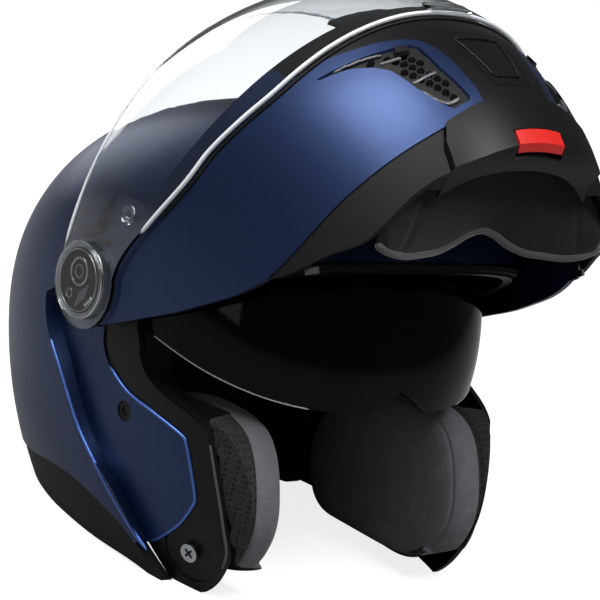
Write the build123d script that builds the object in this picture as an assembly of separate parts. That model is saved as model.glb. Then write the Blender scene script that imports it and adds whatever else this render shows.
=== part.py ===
from build123d import *
import math
import os
from functools import lru_cache

# Modular motorcycle helmet with its chin bar swung up, in millimetres.
# The side view's origin is on the hinge axis: -Y is forward, +X the wearer's left, +Z up.
# Chin bar pieces are drawn closed and swung up at the end, and then the whole helmet
# is pitched back and lifted, as it stands on a table.

os.makedirs("parts", exist_ok=True)

# Overall sizes
SIDE = 100.0  # grid length of the side and front views: outline shares are of this
SHELL_HALF_WIDTH = 125.0
CHIN_HALF_WIDTH = 125.5
PIVOT_HEIGHT = 138.7  # hinge axis above the table
STAND_SHIFT = 12.2  # hinge axis behind the middle of the standing helmet
STAND_PITCH = 20.0  # degrees that the helmet leans back when it stands
OPEN_ANGLE = 75.0  # degrees from the closed chin bar to the raised one
SHELL_FULLNESS = 2.3  # superellipse power of the shell across the head
CHIN_FULLNESS = 2.2
FORM_STEPS = 6
FORM_REACH = 84.0  # degrees across at which a form ends in its small flat cap
SPAN = 200.0  # overrun of cuts past the helmet

# Walls and steps
SHELL_WALL = 4.0
PANEL_DEPTH = 8.0  # side panel below the outer skin
PANEL_WALL = 3.0
TRIM_DEPTH = 9.0  # black jaw trim below the outer skin
TRIM_WALL = 3.2
BROW_DEPTH = 0.8
BROW_WALL = 5.0
COLLAR_DEPTH = 1.0
COLLAR_WALL = 7.0
CHIN_WALL = 3.5
BRIDGE_DEPTH = 2.0  # skin over the strip that joins the chin bar shell's halves behind the nose
BRIDGE_TOP_share = -1.62
LIP_DEPTH = 0.8
LIP_WALL = 12.0
CHIN_LINER_WALL = 18.0
VISOR_RISE = 1.5  # visor's inner face over the chin bar
VISOR_WALL = 2.2
SUN_WALL = 2.0
SUN_HALF_WIDTH = 111.0
FOAM_DEPTH = 34.0  # foam's head side below the outer skin
FOAM_HALF_WIDTH = 108.4
PAD_DEPTH = 42.0
CLEAR = 0.4  # between pieces of one body
SOFT_CLEAR = 0.3

# Pivot stack, as distances from the middle plane
POCKET_X = 115.5
PLATE_WALL = 1.6
ARM_PLATE_X = 117.8
ARM_PLATE_WALL = 3.2
ARM_HEAD_RADIUS = 22.0
POCKET_RADIUS = 24.0
POCKET_FLARE = 7.0
POCKET_RISE = 8.0
STRIPE_LEAN = 13.5  # recess floor comes in by this in one SIDE of height
HUB_RADIUS = 8.0
HUB_CLEAR = 0.06
HUB_END_X = 129.6
COVER_X = 129.2
COVER_WALL = 2.8
COVER_RADIUS = 20.5
EAR_RADIUS = 26.0

# Side silhouettes about the hinge axis: (degrees up from forward, share of SIDE)
SHELL_shares = (
    (-90, 2.36), (-75, 2.37), (-60, 2.22), (-45, 1.90), (-30, 1.61), (-15, 1.41), (0, 1.34), (12, 1.34),
    (27, 1.31), (57, 1.11), (90, 1.02), (121, 1.13), (145, 1.31), (165, 1.50), (180, 1.62), (194, 1.71),
    (208, 1.81), (222, 1.92), (245, 2.12),
)
CHIN_shares = (
    (-90, 2.36), (-75, 2.33), (-60, 2.24), (-45, 2.13), (-30, 1.96), (-15, 1.78), (-3, 1.61), (9, 1.44),
    (25, 1.28), (45, 1.14), (75, 1.05), (105, 1.10), (135, 1.27), (165, 1.50), (194, 1.71), (222, 1.92),
    (245, 2.12),
)
SUN_shares = (
    (-90, 1.60), (-60, 1.42), (-40, 1.29), (-28, 1.235), (-15, 1.18), (0, 1.125), (6, 1.09), (12, 1.052),
    (40, 0.90), (90, 0.80), (140, 0.90), (180, 1.10), (225, 1.40),
)
FOAM_shares = (
    (-90, 2.18), (-75, 2.16), (-60, 1.98), (-45, 1.55), (-30, 1.19), (-15, 1.12), (0, 1.075), (12, 1.02),
    (27, 1.02), (45, 1.02), (57, 1.00), (75, 0.97), (90, 0.96), (121, 1.07), (145, 1.25), (165, 1.44),
    (180, 1.56), (194, 1.65), (208, 1.75), (222, 1.86), (245, 2.06),
)

# Side outlines as (Y, Z) shares of SIDE
STRIPE_FRONT_shares = (
    (0.395, -0.05), (0.385, -0.24), (0.305, -0.38), (0.246, -0.54), (0.185, -0.72), (0.117, -0.88),
    (0.025, -1.08), (-0.08, -1.255), (-0.176, -1.38), (-0.36, -1.62),
)
STRIPE_BACK_shares = (
    (0.42, -0.05), (0.41, -0.22), (0.34, -0.38), (0.272, -0.54), (0.205, -0.71), (0.13, -0.865),
    (0.0, -1.05), (-0.11, -1.215), (-0.22, -1.38), (-0.42, -1.62),
)
RECESS_CORNER_shares = ((-2.4, -1.9), (-2.4, 0.02), (-0.75, 0.02), (-0.45, 0.12), (-0.2, 0.12))
PANEL_TOP_shares = ((-0.05, -0.20), (-0.06, -0.45), (-0.20, -0.585), (-0.40, -0.695), (-0.57, -0.80))
PANEL_FRONT_shares = ((-0.594, -0.83), (-0.604, -0.98), (-0.603, -1.125))
PANEL_LOW_shares = ((-0.584, -1.165), (-0.459, -1.274), (-0.29, -1.355), (-0.176, -1.387))
PORT_TOP_shares = ((-2.4, -0.02), (-0.62, -0.06), (-0.36, -0.12), (-0.29, -0.225))
PORT_SIDE_shares = ((-0.306, -0.33), (-0.346, -0.49), (-0.50, -0.62), (-0.655, -0.725), (-0.718, -0.785))
PORT_FRONT_shares = (
    (-0.729, -0.92), (-0.733, -1.15), (-0.718, -1.31), (-0.70, -1.43), (-0.645, -1.51), (-0.56, -1.588),
    (-0.485, -1.63), (-0.40, -1.655), (-0.36, -1.66),
)
BROW_TOP_shares = ((-2.4, 0.10), (-1.31, 0.09), (-0.62, 0.05), (-0.25, -0.02))
COLLAR_TOP_shares = (
    (2.20, -0.42), (1.70, -0.66), (1.20, -0.865), (0.72, -0.96), (0.286, -1.066), (0.025, -1.208),
    (-0.10, -1.30), (-0.176, -1.387),
)
BASE_shares = (
    (2.20, -0.60), (1.62, -0.87), (1.30, -1.01), (1.00, -1.13), (0.613, -1.25), (0.173, -1.40),
    (-0.15, -1.52), (-0.34, -1.66),
)
BASE_FRONT_shares = ((-0.36, -1.75),)
FOAM_FRONT_shares = (
    (-2.4, 0.09), (-0.60, 0.07), (-0.26, -0.12), (-0.26, -0.52), (-0.50, -0.74), (-0.62, -0.92),
    (-0.58, -1.20), (-0.50, -1.42),
)
FOAM_BASE_shares = ((-0.10, -1.30), (0.36, -1.12), (0.44, -0.98), (1.10, -0.78), (1.72, -0.42), (2.40, -0.02))
REAR_BLOCK_shares = ((0.47, -1.9), (0.47, 0.68), (-0.30, 0.68), (-0.30, 1.4), (2.6, 1.4), (2.6, -1.9))
SIDE_BLOCK_shares = (
    (0.45, -2.6), (0.45, 0.60), (-0.26, 0.60), (-0.50, 0.19), (-0.80, 0.06), (-2.6, 0.06), (-2.6, -2.6),
)
SIDE_BLOCK_X = 72.0  # the shell is thin on both sides of the middle up to here

# Chin bar outlines in the closed position
ARM_REAR_shares = (
    (0.20, -0.165), (0.12, -0.38), (0.05, -0.555), (-0.03, -0.75), (-0.10, -0.89), (-0.19, -1.06),
    (-0.25, -1.15), (-0.33, -1.245),
)
BLUE_LOW_shares = (
    (-0.33, -1.245), (-0.62, -1.41), (-0.80, -1.488), (-0.91, -1.54), (-1.06, -1.61), (-1.16, -1.655),
    (-1.24, -1.68), (-1.36, -1.685), (-1.60, -1.685), (-2.40, -1.685),
)
RIM_shares = ((-2.40, -1.25), (-1.71, -0.94), (-1.18, -0.70), (-0.64, -0.45), (-0.30, -0.24), (-0.10, 0.16))
LIP_LOW_shares = (
    (-0.36, -1.31), (-0.44, -1.41), (-0.53, -1.52), (-0.62, -1.64), (-0.85, -1.74), (-1.00, -1.80),
    (-1.12, -1.875), (-1.20, -1.895), (-2.40, -1.895),
)
LIP_THICK_shares = ((-0.92, -2.2), (-0.92, -1.2), (-2.4, -1.2), (-2.4, -2.2))
LINER_shares = (
    (-0.86, -1.495), (-0.94, -1.535), (-1.09, -1.60), (-1.20, -1.645), (-1.30, -1.655), (-2.4, -1.655),
    (-2.4, -1.27), (-1.71, -0.96), (-1.18, -0.73), (-0.90, -0.60),
)
VISOR_LOW_shares = (
    (0.10, -0.245), (-0.08, -0.255), (-0.19, -0.29), (-0.39, -0.423), (-0.665, -0.603), (-0.854, -0.685),
    (-1.05, -0.795), (-1.20, -0.878), (-1.36, -0.936), (-1.48, -0.975), (-1.665, -1.039), (-2.40, -1.30),
)
VISOR_TOP_shares = ((-2.40, 0.10), (-1.42, 0.15), (-0.66, 0.19), (-0.24, 0.22), (-0.08, 0.245))
SUN_LOW_shares = (
    (0.03, -0.11), (-0.30, -0.27), (-0.62, -0.48), (-0.85, -0.62), (-1.05, -0.72), (-2.0, -1.12),
)
SUN_TOP_shares = ((-2.0, 0.40), (-1.03, 0.21), (-0.50, 0.12), (-0.04, 0.11))

# Front outlines as (X, Z) shares of SIDE, for the wearer's left half
NOSE_shares = (
    (0.0, -1.75), (0.238, -1.75), (0.24, -1.60), (0.258, -1.51), (0.27, -1.41), (0.302, -1.30),
    (0.335, -1.235), (0.40, -1.18), (0.50, -1.125), (0.61, -1.065), (0.72, -0.99), (0.86, -0.90),
    (0.86, -0.60), (0.0, -0.60),
)
VENT_shares = (
    (0.80, -1.03), (0.66, -1.115), (0.53, -1.18), (0.40, -1.235), (0.372, -1.27), (0.354, -1.43),
    (0.322, -1.54), (0.297, -1.62), (0.31, -1.64), (0.405, -1.64), (0.456, -1.58), (0.514, -1.46),
    (0.56, -1.31), (0.61, -1.23), (0.69, -1.135), (0.79, -1.05),
)
NOSE_PEAK_shares = (
    (-0.34, -1.2), (-0.30, -0.76), (-0.16, -0.68), (0.0, -0.59), (0.16, -0.68), (0.30, -0.76), (0.34, -1.2),
)
FLAP_shares = ((0.12, -1.60), (0.21, -1.22))
FLAP_WALL = 3.0

# Cheek pads: side outline, with its size at places across
PAD_shares = (
    (-0.76, -0.74), (-0.865, -0.95), (-0.865, -1.30), (-0.66, -1.57), (-0.30, -1.62), (0.41, -1.42),
    (0.41, -0.86), (0.10, -0.60), (-0.36, -0.60),
)
PAD_CENTRE_shares = (-0.33, -1.08)
PAD_ACROSS_shares = ((1.10, 0.96), (0.92, 1.0), (0.74, 1.0), (0.62, 0.94), (0.56, 0.82))
PAD_FILLET = 17.0
PAD_FRONT_share = -0.63
CROWN_LOW_share = 0.10
CROWN_GROOVE = 4.0
CROWN_GROOVE_DEPTH = 3.5
CROWN_GROOVE_X = 27.0
NECK_shares = (
    (0.48, -1.17), (1.00, -1.02), (1.40, -0.90), (1.80, -0.66), (1.72, -0.45), (1.10, -0.81), (0.48, -1.02),
)
NECK_DEPTH = 8.6
NECK_WALL = 20.0

# Straps on the inner faces of the cheek pads
STRAP_WIDTH = 24.0
STRAP_WALL = 2.0
STRAP_X = 66.0
STRAP_BEND = -76.0
STRAP_REACH_X = 98.0
STRAP_LOW = -118.0
BUCKLE_LENGTH = 36.0
BUCKLE_WALL = 7.0

# Small parts
STRIKER_Y = -48.0
STRIKER_Z = -142.3
STRIKER_RADIUS = 3.2
STRIKER_HEAD_RADIUS = 5.2
PLUG_Y = -16.7
PLUG_Z = -69.0
PLUG_RADIUS = 5.6
PINLOCK_Y = -42.5
PINLOCK_Z = -29.0
PINLOCK_RADIUS = 5.0
PINLOCK_HEAD = 1.4
PINLOCK_GAP = 0.3
PLUG_SET = 0.8
ARM_PLATE_RADIUS = 20.0
SEAT = 0.1
STRIKER_POCKET = 1.5
STRIKER_POCKET_RADIUS = 17.5
STRIKER_HEAD_LOW = 0.8
STRIKER_HEAD_TOP = 1.8
CLOSING = Vector(0, 0.925, -0.38)  # way that the latch moves as the chin bar shuts
HOOK_REACH = 12.0
HOOK_GRIP = 3.4
HOOK_BACK = 3.4
HOOK_NIB = 1.0
HOOK_GAP = 0.6
HOOK_LOW = -0.9
HOOK_WALL = 1.4
HOOK_EYE_RADIUS = 4.2
HOOK_PIN_RADIUS = 2.0
LIP_shares = ((0.465, -1.655), (0.51, -1.74))
LIP_RISE = 2.0
LEVER_shares = (0.155, -1.84, -1.95)
LEVER_WALL = 3.4
LEVER_RISE = 0.4
LEVER_ROOM = 3.0
LEVER_GAP = 0.8
VENT_SET = 1.4
VENT_RIM = 1.3
VENT_TOP_share = 1.03
CELL_PITCH = 4.6
CELL_FLATS = 3.9
SLIDE_shares = ((0.46, -1.245), (0.40, -1.275))
SLIDE_LENGTH = 7.0
SLIDE_WIDTH = 3.8
SLIDE_RISE = 1.2
SLIDE_GAP = 0.5
TAB_shares = (0.14, -1.07, -0.985)
TAB_WALL = 2.2
GUARD_DEPTH = 8.0
GUARD_WALL = 1.8
GUARD_HALF_share = 0.46
GUARD_shares = ((-1.75, -0.893), (-1.18, -0.655), (-1.18, -0.50), (-1.75, -0.74))
CURTAIN_OUTER_shares = ((0.0, -1.15), (0.40, -1.06), (0.66, -0.88), (0.80, -0.68))
CURTAIN_INNER_shares = ((0.0, -0.68), (0.76, -0.61))
CURTAIN_Z_share = -1.662
CURTAIN_WALL = 2.4
PIPING_RADIUS = 1.9
TOP_VENT_shares = (0.19, 0.16, 0.24)
TOP_VENT_DEPTH = 2.4
TOP_VENT_TRAVEL = 8.0
VENT_GAP = 0.5
RIB_WIDTH = 2.4
RIB_RISE = 1.4
EXHAUST_shares = ((-0.42, -0.10), (-0.30, 0.03), (0.30, 0.03), (0.42, -0.10), (0.22, -0.26), (-0.22, -0.26))
EXHAUST_RISE = 1.6
EXHAUST_SLOTS = 3
EXHAUST_PITCH = 7.0
EXHAUST_SLOT = 2.6
EXHAUST_SLOT_LENGTH = 14.0
EXHAUST_MIDDLE_share = -0.11
SUN_SLIDE_shares = (0.22, -1.245, 0.40, 0.16)
SUN_SLIDE_TRAVEL = 16.0
KNOB_LENGTH = 12.0
KNOB_WIDTH = 7.0
KNOB_RISE = 1.8
TRACK_DEPTH = 2.4
SEAL_shares = ((-2.4, 0.085), (-1.31, 0.075), (-0.62, 0.035), (-0.62, 0.005), (-1.31, 0.045), (-2.4, 0.055))
SEAL_RISE = 1.8
STRAP_FRONT_Y = 46.0
BUCKLE_FILLET = 2.0


def side_points(shares):
    return [Vector(0, SIDE * y, SIDE * z) for y, z in shares]


def front_points(shares, side=1):
    return [Vector(side * SIDE * x, 0, SIDE * z) for x, z in shares]


@lru_cache(maxsize=None)
def form(shares, half_width, fullness, inset=0):
    """Side silhouette about the hinge axis, carried across the head on a superellipse and lofted."""
    sections = []
    for step in range(-FORM_STEPS, FORM_STEPS + 1):
        turn = math.radians(FORM_REACH * step / FORM_STEPS)
        across = math.copysign(abs(math.sin(turn)) ** (2 / fullness), turn) * (half_width - inset)
        size = math.cos(turn) ** (2 / fullness)
        points = []
        for angle, share in shares:
            radius = (SIDE * share - inset) * size
            up = math.radians(angle)
            points.append(Vector(across, -radius * math.cos(up), radius * math.sin(up)))
        sections.append(Wire([Edge.make_spline(points, periodic=True)]))
    return Solid.make_loft(sections)


def shell_form(inset=0):
    return form(SHELL_shares, SHELL_HALF_WIDTH, SHELL_FULLNESS, inset)


def chin_form(inset=0):
    return form(CHIN_shares, CHIN_HALF_WIDTH, CHIN_FULLNESS, inset)


def closed_wire(curves):
    """Closed outline: each curve is a smooth line through its points, joined by straight runs."""
    edges = []
    for number, curve in enumerate(curves):
        if len(curve) == 2:
            edges.append(Edge.make_line(curve[0], curve[1]))
        elif len(curve) > 2:
            edges.append(Edge.make_spline(curve))
        after = curves[(number + 1) % len(curves)]
        if (after[0] - curve[-1]).length > 0:
            edges.append(Edge.make_line(curve[-1], after[0]))
    return Wire(edges)


def straight(points):
    """Splits points into single-point curves, so that straight runs join them."""
    return [[point] for point in points]


def side_region(curves, low=-SPAN, high=SPAN):
    """Side outline extruded across from one X to another."""
    face = Face(closed_wire(curves))
    return Solid.extrude(face, Vector(high - low, 0, 0)).moved(Location((low, 0, 0)))


def front_region(points, depth=SPAN):
    """Front outline extruded forward from the hinge plane."""
    return Solid.extrude(Face(Wire.make_polygon(points)), Vector(0, -depth, 0))


def disc(side, near, far, radius, y=0, z=0):
    """Round piece across the head between two distances from the middle plane."""
    plane = Plane(origin=(side * near, y, z), z_dir=(side, 0, 0))
    return Solid.make_cylinder(radius, far - near, plane)


def half(side):
    """Everything on one side of the middle plane."""
    corner = (0 if side > 0 else -SPAN, -SPAN, -SPAN)
    return Solid.make_box(SPAN, SPAN + SPAN, SPAN + SPAN, Plane(origin=corner))


def whole(shape):
    """Largest solid of a cut, without the crumbs that a cut can leave."""
    return shape.solids().sort_by(SortBy.VOLUME)[-1]


def floor_cut():
    """Everything under the table, in the worn frame."""
    corner = (-SPAN, -SPAN * 2, -PIVOT_HEIGHT - SPAN)
    under = Solid.make_box(SPAN + SPAN, SPAN * 4, SPAN, Plane(origin=corner))
    return under.moved(Location((0, 0, 0), (STAND_PITCH, 0, 0)))


def recess_cutter(side):
    """Space of the closed arm on one side: a slanted wall behind it makes the bright bevel."""
    wires = []
    for reach in (-1, 2):
        x = side * POCKET_RISE * reach
        line = []
        for (fy, fz), (by, bz) in zip(STRIPE_FRONT_shares, STRIPE_BACK_shares):
            line.append(Vector(x, SIDE * (fy + (by - fy) * reach), SIDE * (fz + (bz - fz) * reach)))
        corners = [Vector(x, SIDE * y, SIDE * z) for y, z in RECESS_CORNER_shares]
        wires.append(Wire([Edge.make_spline(line)] + [
            Edge.make_line(a, b) for a, b in zip([line[-1]] + corners, corners + [line[0]])
        ]))
    block = Solid.make_loft(wires, ruled=True)
    lean = math.degrees(math.atan2(STRIPE_LEAN, SIDE))
    return block.moved(Location((side * POCKET_X, 0, 0), (0, side * lean, 0)))


def pivot_pocket(side):
    """Round flared pocket for the arm's head, open towards the front where the arm sweeps."""
    plane = Plane(origin=(side * POCKET_X, 0, 0), z_dir=(side, 0, 0))
    flare = Solid.make_cone(POCKET_RADIUS, POCKET_RADIUS + POCKET_FLARE * 2, POCKET_RISE * 2, plane)
    corners = ((0, 0.24), (-0.25, 0.62), (-0.95, 0.62), (-0.95, -0.3), (0, -0.24))
    low = POCKET_X if side > 0 else -SPAN
    sweep = side_region(straight(side_points(corners)), low, low + SPAN - (0 if side > 0 else POCKET_X))
    return flare + sweep


def shell_region():
    """Side view of the painted shell: behind the port and its trim, above the collar."""
    front = [side_points(BROW_TOP_shares), side_points(PANEL_TOP_shares)]
    front += [side_points(PANEL_FRONT_shares), side_points(PANEL_LOW_shares)]
    collar = side_points(COLLAR_TOP_shares)[::-1]
    top = side_points(((2.6, -0.4), (2.6, 1.6), (-2.4, 1.6)))
    return side_region(front + [collar] + straight(top))


def shell_hollow(gap):
    """Inside of the shell: it steps inwards with the side panels."""
    outline = straight(side_points(SIDE_BLOCK_shares))
    space = shell_form(SHELL_WALL + gap)
    for near, far in ((-SPAN, -SIDE_BLOCK_X), (SIDE_BLOCK_X, SPAN)):
        space = space - side_region(outline, near, far)
    return shell_form(PANEL_DEPTH + PANEL_WALL + gap) + space


def outer_shell():
    body = shell_form()
    for side in (-1, 1):
        body = body - recess_cutter(side)
    body = body + shell_form(PANEL_DEPTH)
    for side in (-1, 1):
        body = body - pivot_pocket(side)
    body = (body - shell_hollow(0)) & shell_region()
    for side in (-1, 1):
        body = body - plug_bore(side)
    return whole(body - top_vent_recess() - exhaust_zone())


def jaw_trim(side):
    wall = shell_form(TRIM_DEPTH) - shell_form(TRIM_DEPTH + TRIM_WALL)
    inner = [side_points(PORT_TOP_shares)[2:], side_points(PORT_SIDE_shares), side_points(PORT_FRONT_shares)]
    outer = [side_points(PANEL_LOW_shares)[::-1], side_points(PANEL_FRONT_shares)[::-1]]
    outer += [side_points(PANEL_TOP_shares)[::-1], side_points(BROW_TOP_shares)[3:4]]
    region = side_region(inner + straight(side_points(BASE_FRONT_shares)) + outer)
    trim = wall & region & half(side) - floor_cut() - striker_pocket(side)
    return whole(trim - rod(striker_plane(side), -SIDE, SIDE, STRIKER_RADIUS))


def brow_trim():
    wall = shell_form(BROW_DEPTH) - shell_form(BROW_DEPTH + BROW_WALL)
    low = side_points(PORT_TOP_shares)[:3][::-1]
    trim = wall & side_region([side_points(BROW_TOP_shares)] + [low])
    return whole(trim - pivot_pocket(-1) - pivot_pocket(1))


def collar():
    wall = shell_form(COLLAR_DEPTH) - shell_form(COLLAR_DEPTH + COLLAR_WALL)
    region = side_region([side_points(COLLAR_TOP_shares), side_points(BASE_shares)[::-1]])
    return whole(wall & region - floor_cut() - sun_slide_track())


def foam_liner():
    outer = form(FOAM_shares, FOAM_HALF_WIDTH, SHELL_FULLNESS) & shell_hollow(CLEAR)
    rear = side_region(straight(side_points(REAR_BLOCK_shares)))
    outer = outer + (shell_form(SHELL_WALL + CLEAR) & rear)
    front = straight(side_points(FOAM_FRONT_shares)) + straight(side_points(FOAM_BASE_shares))
    top = straight(side_points(((2.6, 1.6), (-2.4, 1.6))))
    return whole((outer - shell_form(FOAM_DEPTH)) & side_region(front + top))


def crown_pad():
    pad = shell_form(FOAM_DEPTH + SOFT_CLEAR) - shell_form(PAD_DEPTH)
    groove_form = shell_form(PAD_DEPTH - CROWN_GROOVE_DEPTH)
    for side in (-1, 1):
        low = side * CROWN_GROOVE_X - CROWN_GROOVE / 2
        slab = Solid.make_box(CROWN_GROOVE, SPAN + SPAN, SPAN, Plane(origin=(low, -SPAN, 0)))
        pad = pad - (groove_form & slab)
    keep = ((-2.0, CROWN_LOW_share), (2.0, CROWN_LOW_share), (2.0, 1.6), (-2.0, 1.6))
    return whole(pad & side_region(straight(side_points(keep))))


def cheek_pad(side):
    """Crowned cushion: the side outline at five places across, drawn in towards the face."""
    centre = Vector(0, SIDE * PAD_CENTRE_shares[0], SIDE * PAD_CENTRE_shares[1])
    sections = []
    for across, size in PAD_ACROSS_shares:
        corners = [centre + (p - centre) * size for p in side_points(PAD_shares)]
        place = [Vector(side * SIDE * across, p.Y, p.Z) for p in corners]
        sections.append(Wire(FilletPolyline(place, radius=PAD_FILLET * size, close=True).edges()))
    pad = Solid.make_loft(sections)
    ahead = ((PAD_FRONT_share, -1.9), (PAD_FRONT_share, 0.2), (-2.0, 0.2), (-2.0, -1.9))
    front = side_region(straight(side_points(ahead)))
    room = shell_form(FOAM_DEPTH + SOFT_CLEAR) + (shell_form(TRIM_DEPTH + TRIM_WALL + SOFT_CLEAR) & front)
    return whole(pad & room - floor_cut())


def neck_roll():
    wall = shell_form(NECK_DEPTH) - shell_form(NECK_DEPTH + NECK_WALL)
    region = side_region(straight(side_points(NECK_shares)))
    return whole(wall & region - floor_cut())


def pivot_plate(side):
    """Base plate in the pocket with the hub that carries the arm and the visor."""
    plate = disc(side, POCKET_X, POCKET_X + PLATE_WALL, ARM_HEAD_RADIUS)
    return plate + disc(side, POCKET_X, HUB_END_X, HUB_RADIUS)


def pivot_cover(side):
    cover = disc(side, COVER_X, COVER_X + COVER_WALL, COVER_RADIUS)
    return cover - disc(side, COVER_X, HUB_END_X, HUB_RADIUS)


def pivot_bore(side):
    return disc(side, POCKET_X, POCKET_X + POCKET_X, HUB_RADIUS + HUB_CLEAR)


def chin_region(low_curves):
    """Side view from the rim under the visor down to a lower line, with the round arm head."""
    rear = side_points(ARM_REAR_shares)
    rim = side_points(RIM_shares)
    return side_region([rear] + low_curves + [rim])


def arm_head():
    return disc(1, -SPAN, SPAN, ARM_HEAD_RADIUS)


def nose_region():
    points = front_points(NOSE_shares)
    mirrored = front_points(NOSE_shares, -1)[::-1]
    return front_region(points + mirrored[1:-1])


def chin_bridge(gap):
    """Strip behind the nose's lower end that makes the two halves of the chin bar shell one moulding."""
    below = SIDE * BRIDGE_TOP_share + gap
    corners = [Vector(-SIDE, 0, below), Vector(SIDE, 0, below)]
    wide = front_region(corners + [Vector(SIDE, 0, -SPAN), Vector(-SIDE, 0, -SPAN)])
    return (chin_form(BRIDGE_DEPTH - gap) - chin_form(CHIN_WALL + gap)) & wide


def chin_bar_shell():
    wall = chin_form() - chin_form(CHIN_WALL)
    region = chin_region([side_points(BLUE_LOW_shares)]) + arm_head()
    body = (wall & region - nose_region()) + (wall & region & nose_region() & chin_bridge(0))
    for side in (-1, 1):
        body = body - front_region(front_points(VENT_shares, side)) - pivot_bore(side) + hook_pin(side)
    return whole(body)


def chin_nose():
    wall = chin_form() - chin_form(CHIN_WALL)
    region = chin_region([side_points(BLUE_LOW_shares)])
    return whole((wall & region & nose_region()) - flap_space(CLEAR) - chin_bridge(SEAT))


def flap_space(gap):
    """Front outline of the centre vent's flap, with a gap all round."""
    low, high = front_points(FLAP_shares)
    low, high = low + Vector(gap, 0, -gap), high + Vector(gap, 0, gap)
    return front_region([Vector(-low.X, 0, low.Z), low, high, Vector(-high.X, 0, high.Z)])


def centre_vent_flap():
    return whole((chin_form() - chin_form(FLAP_WALL)) & flap_space(0))


def lip_inside(gap):
    """Space inside the lower trim: its wall is thin along the arms and thick at the front."""
    thick = side_region(straight(side_points(LIP_THICK_shares)))
    return chin_form(LIP_DEPTH + LIP_WALL + gap) + (chin_form(CHIN_WALL + gap) - thick)


def chin_lower_trim(side):
    region = side_region([side_points(BLUE_LOW_shares)[::-1], side_points(LIP_LOW_shares)])
    body = (chin_form(LIP_DEPTH) - lip_inside(0)) & region - front_region(lip_outline(CLEAR))
    return whole(body & half(side))


def lip_outline(gap):
    """Front view of the centre lip, with a gap all round for its neighbour."""
    top, end = front_points(LIP_shares)
    half_line = [top + Vector(gap, 0, gap), end + Vector(gap, 0, 0), Vector(end.X + gap, 0, -SPAN)]
    return [Vector(-p.X, 0, p.Z) for p in half_line[::-1]] + half_line


def chin_lip():
    """Centre of the chin's lower edge, with the pocket of the release lever."""
    wall = chin_form(-LIP_RISE) - chin_form(LIP_DEPTH + LIP_WALL)
    region = side_region([side_points(BLUE_LOW_shares)[::-1], side_points(LIP_LOW_shares)])
    pocket = lever_zone(LEVER_GAP) - chin_form(LEVER_WALL - LIP_RISE + LEVER_ROOM)
    return whole(wall & region & front_region(lip_outline(0)) - pocket)


def lever_zone(gap):
    """Front outline of the release lever, with a gap all round."""
    x, top, low = (SIDE * share for share in LEVER_shares)
    x, top, low = x + gap, top + gap, low - gap
    return front_region([Vector(-x, 0, low), Vector(x, 0, low), Vector(x, 0, top), Vector(-x, 0, top)])


def release_lever():
    """Paddle in the lip's lower edge: it hinges at its top, and its lower edge is pressed in."""
    wall = chin_form(-LIP_RISE - LEVER_RISE) - chin_form(LEVER_WALL - LIP_RISE)
    region = side_region([side_points(BLUE_LOW_shares)[::-1], side_points(LIP_LOW_shares)])
    return whole(wall & region & lever_zone(0))


def chin_liner():
    wall = chin_form(CHIN_WALL + CLEAR) - chin_form(CHIN_WALL + CHIN_LINER_WALL)
    return whole(wall & side_region(straight(side_points(LINER_shares))))


def honeycomb(side):
    """Front view of a grille: the vent's outline with six-sided cells cut through it."""
    outline = Face(Wire.make_polygon(front_points(VENT_shares, side)))
    cells = []
    rows = math.ceil(SIDE / CELL_PITCH)
    for row in range(rows):
        for column in range(rows):
            x = CELL_PITCH * (column + (row % 2) / 2)
            z = -SIDE * VENT_TOP_share - CELL_PITCH * row * math.sqrt(3) / 2
            centre = Vector(side * x, 0, z)
            corners = [
                centre + Vector(math.sin(turn), 0, math.cos(turn)) * (CELL_FLATS / math.sqrt(3))
                for turn in (math.radians(60 * k) for k in range(6))
            ]
            if all(inside_vent(side, corner) for corner in corners):
                cells.append(Solid.extrude(Face(Wire.make_polygon(corners)), Vector(0, -SPAN, 0)))
    return Solid.extrude(outline, Vector(0, -SPAN, 0)).cut(*cells)


def inside_vent(side, point):
    """True where a point in the front view lies inside the vent's outline and clear of its rim."""
    corners = [(SIDE * x, SIDE * z) for x, z in VENT_shares]
    x, z = side * point.X, point.Z
    inside, nearest = False, SPAN
    for (ax, az), (bx, bz) in zip(corners, corners[1:] + corners[:1]):
        if (az > z) != (bz > z) and x < ax + (z - az) * (bx - ax) / (bz - az):
            inside = not inside
        length = math.hypot(bx - ax, bz - az)
        along = max(0, min(1, ((x - ax) * (bx - ax) + (z - az) * (bz - az)) / length**2))
        nearest = min(nearest, math.hypot(x - ax - along * (bx - ax), z - az - along * (bz - az)))
    return inside and nearest > VENT_RIM


def vent_grille(side):
    wall = chin_form(VENT_SET) - chin_form(CHIN_WALL)
    return whole(wall & honeycomb(side))


def vent_slider(side):
    """Thumb slide of a side vent, on the outer wing of its grille."""
    start, end = front_points(SLIDE_shares, side)
    along = (end - start).normalized()
    up = Vector(-along.Z, 0, along.X)
    corners = []
    for forward, rise in ((-1, -1), (1, -1), (1, 1), (-1, 1)):
        corners.append(start + along * (forward * SLIDE_LENGTH / 2) + up * (rise * SLIDE_WIDTH / 2))
    wall = chin_form(-SLIDE_RISE) - chin_form(VENT_SET - SLIDE_GAP)
    return whole(wall & front_region(corners))


def visor():
    body = chin_form(-VISOR_RISE - VISOR_WALL) - chin_form(-VISOR_RISE)
    region = side_region([side_points(VISOR_LOW_shares), side_points(VISOR_TOP_shares)])
    body = body & (region + disc(1, -SPAN, SPAN, EAR_RADIUS))
    for side in (-1, 1):
        body = body - pivot_bore(side)
        body = body - rod(pinlock_plane(side), -VISOR_WALL * 2, VISOR_WALL, PINLOCK_RADIUS / 2)
    return whole(body)


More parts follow.
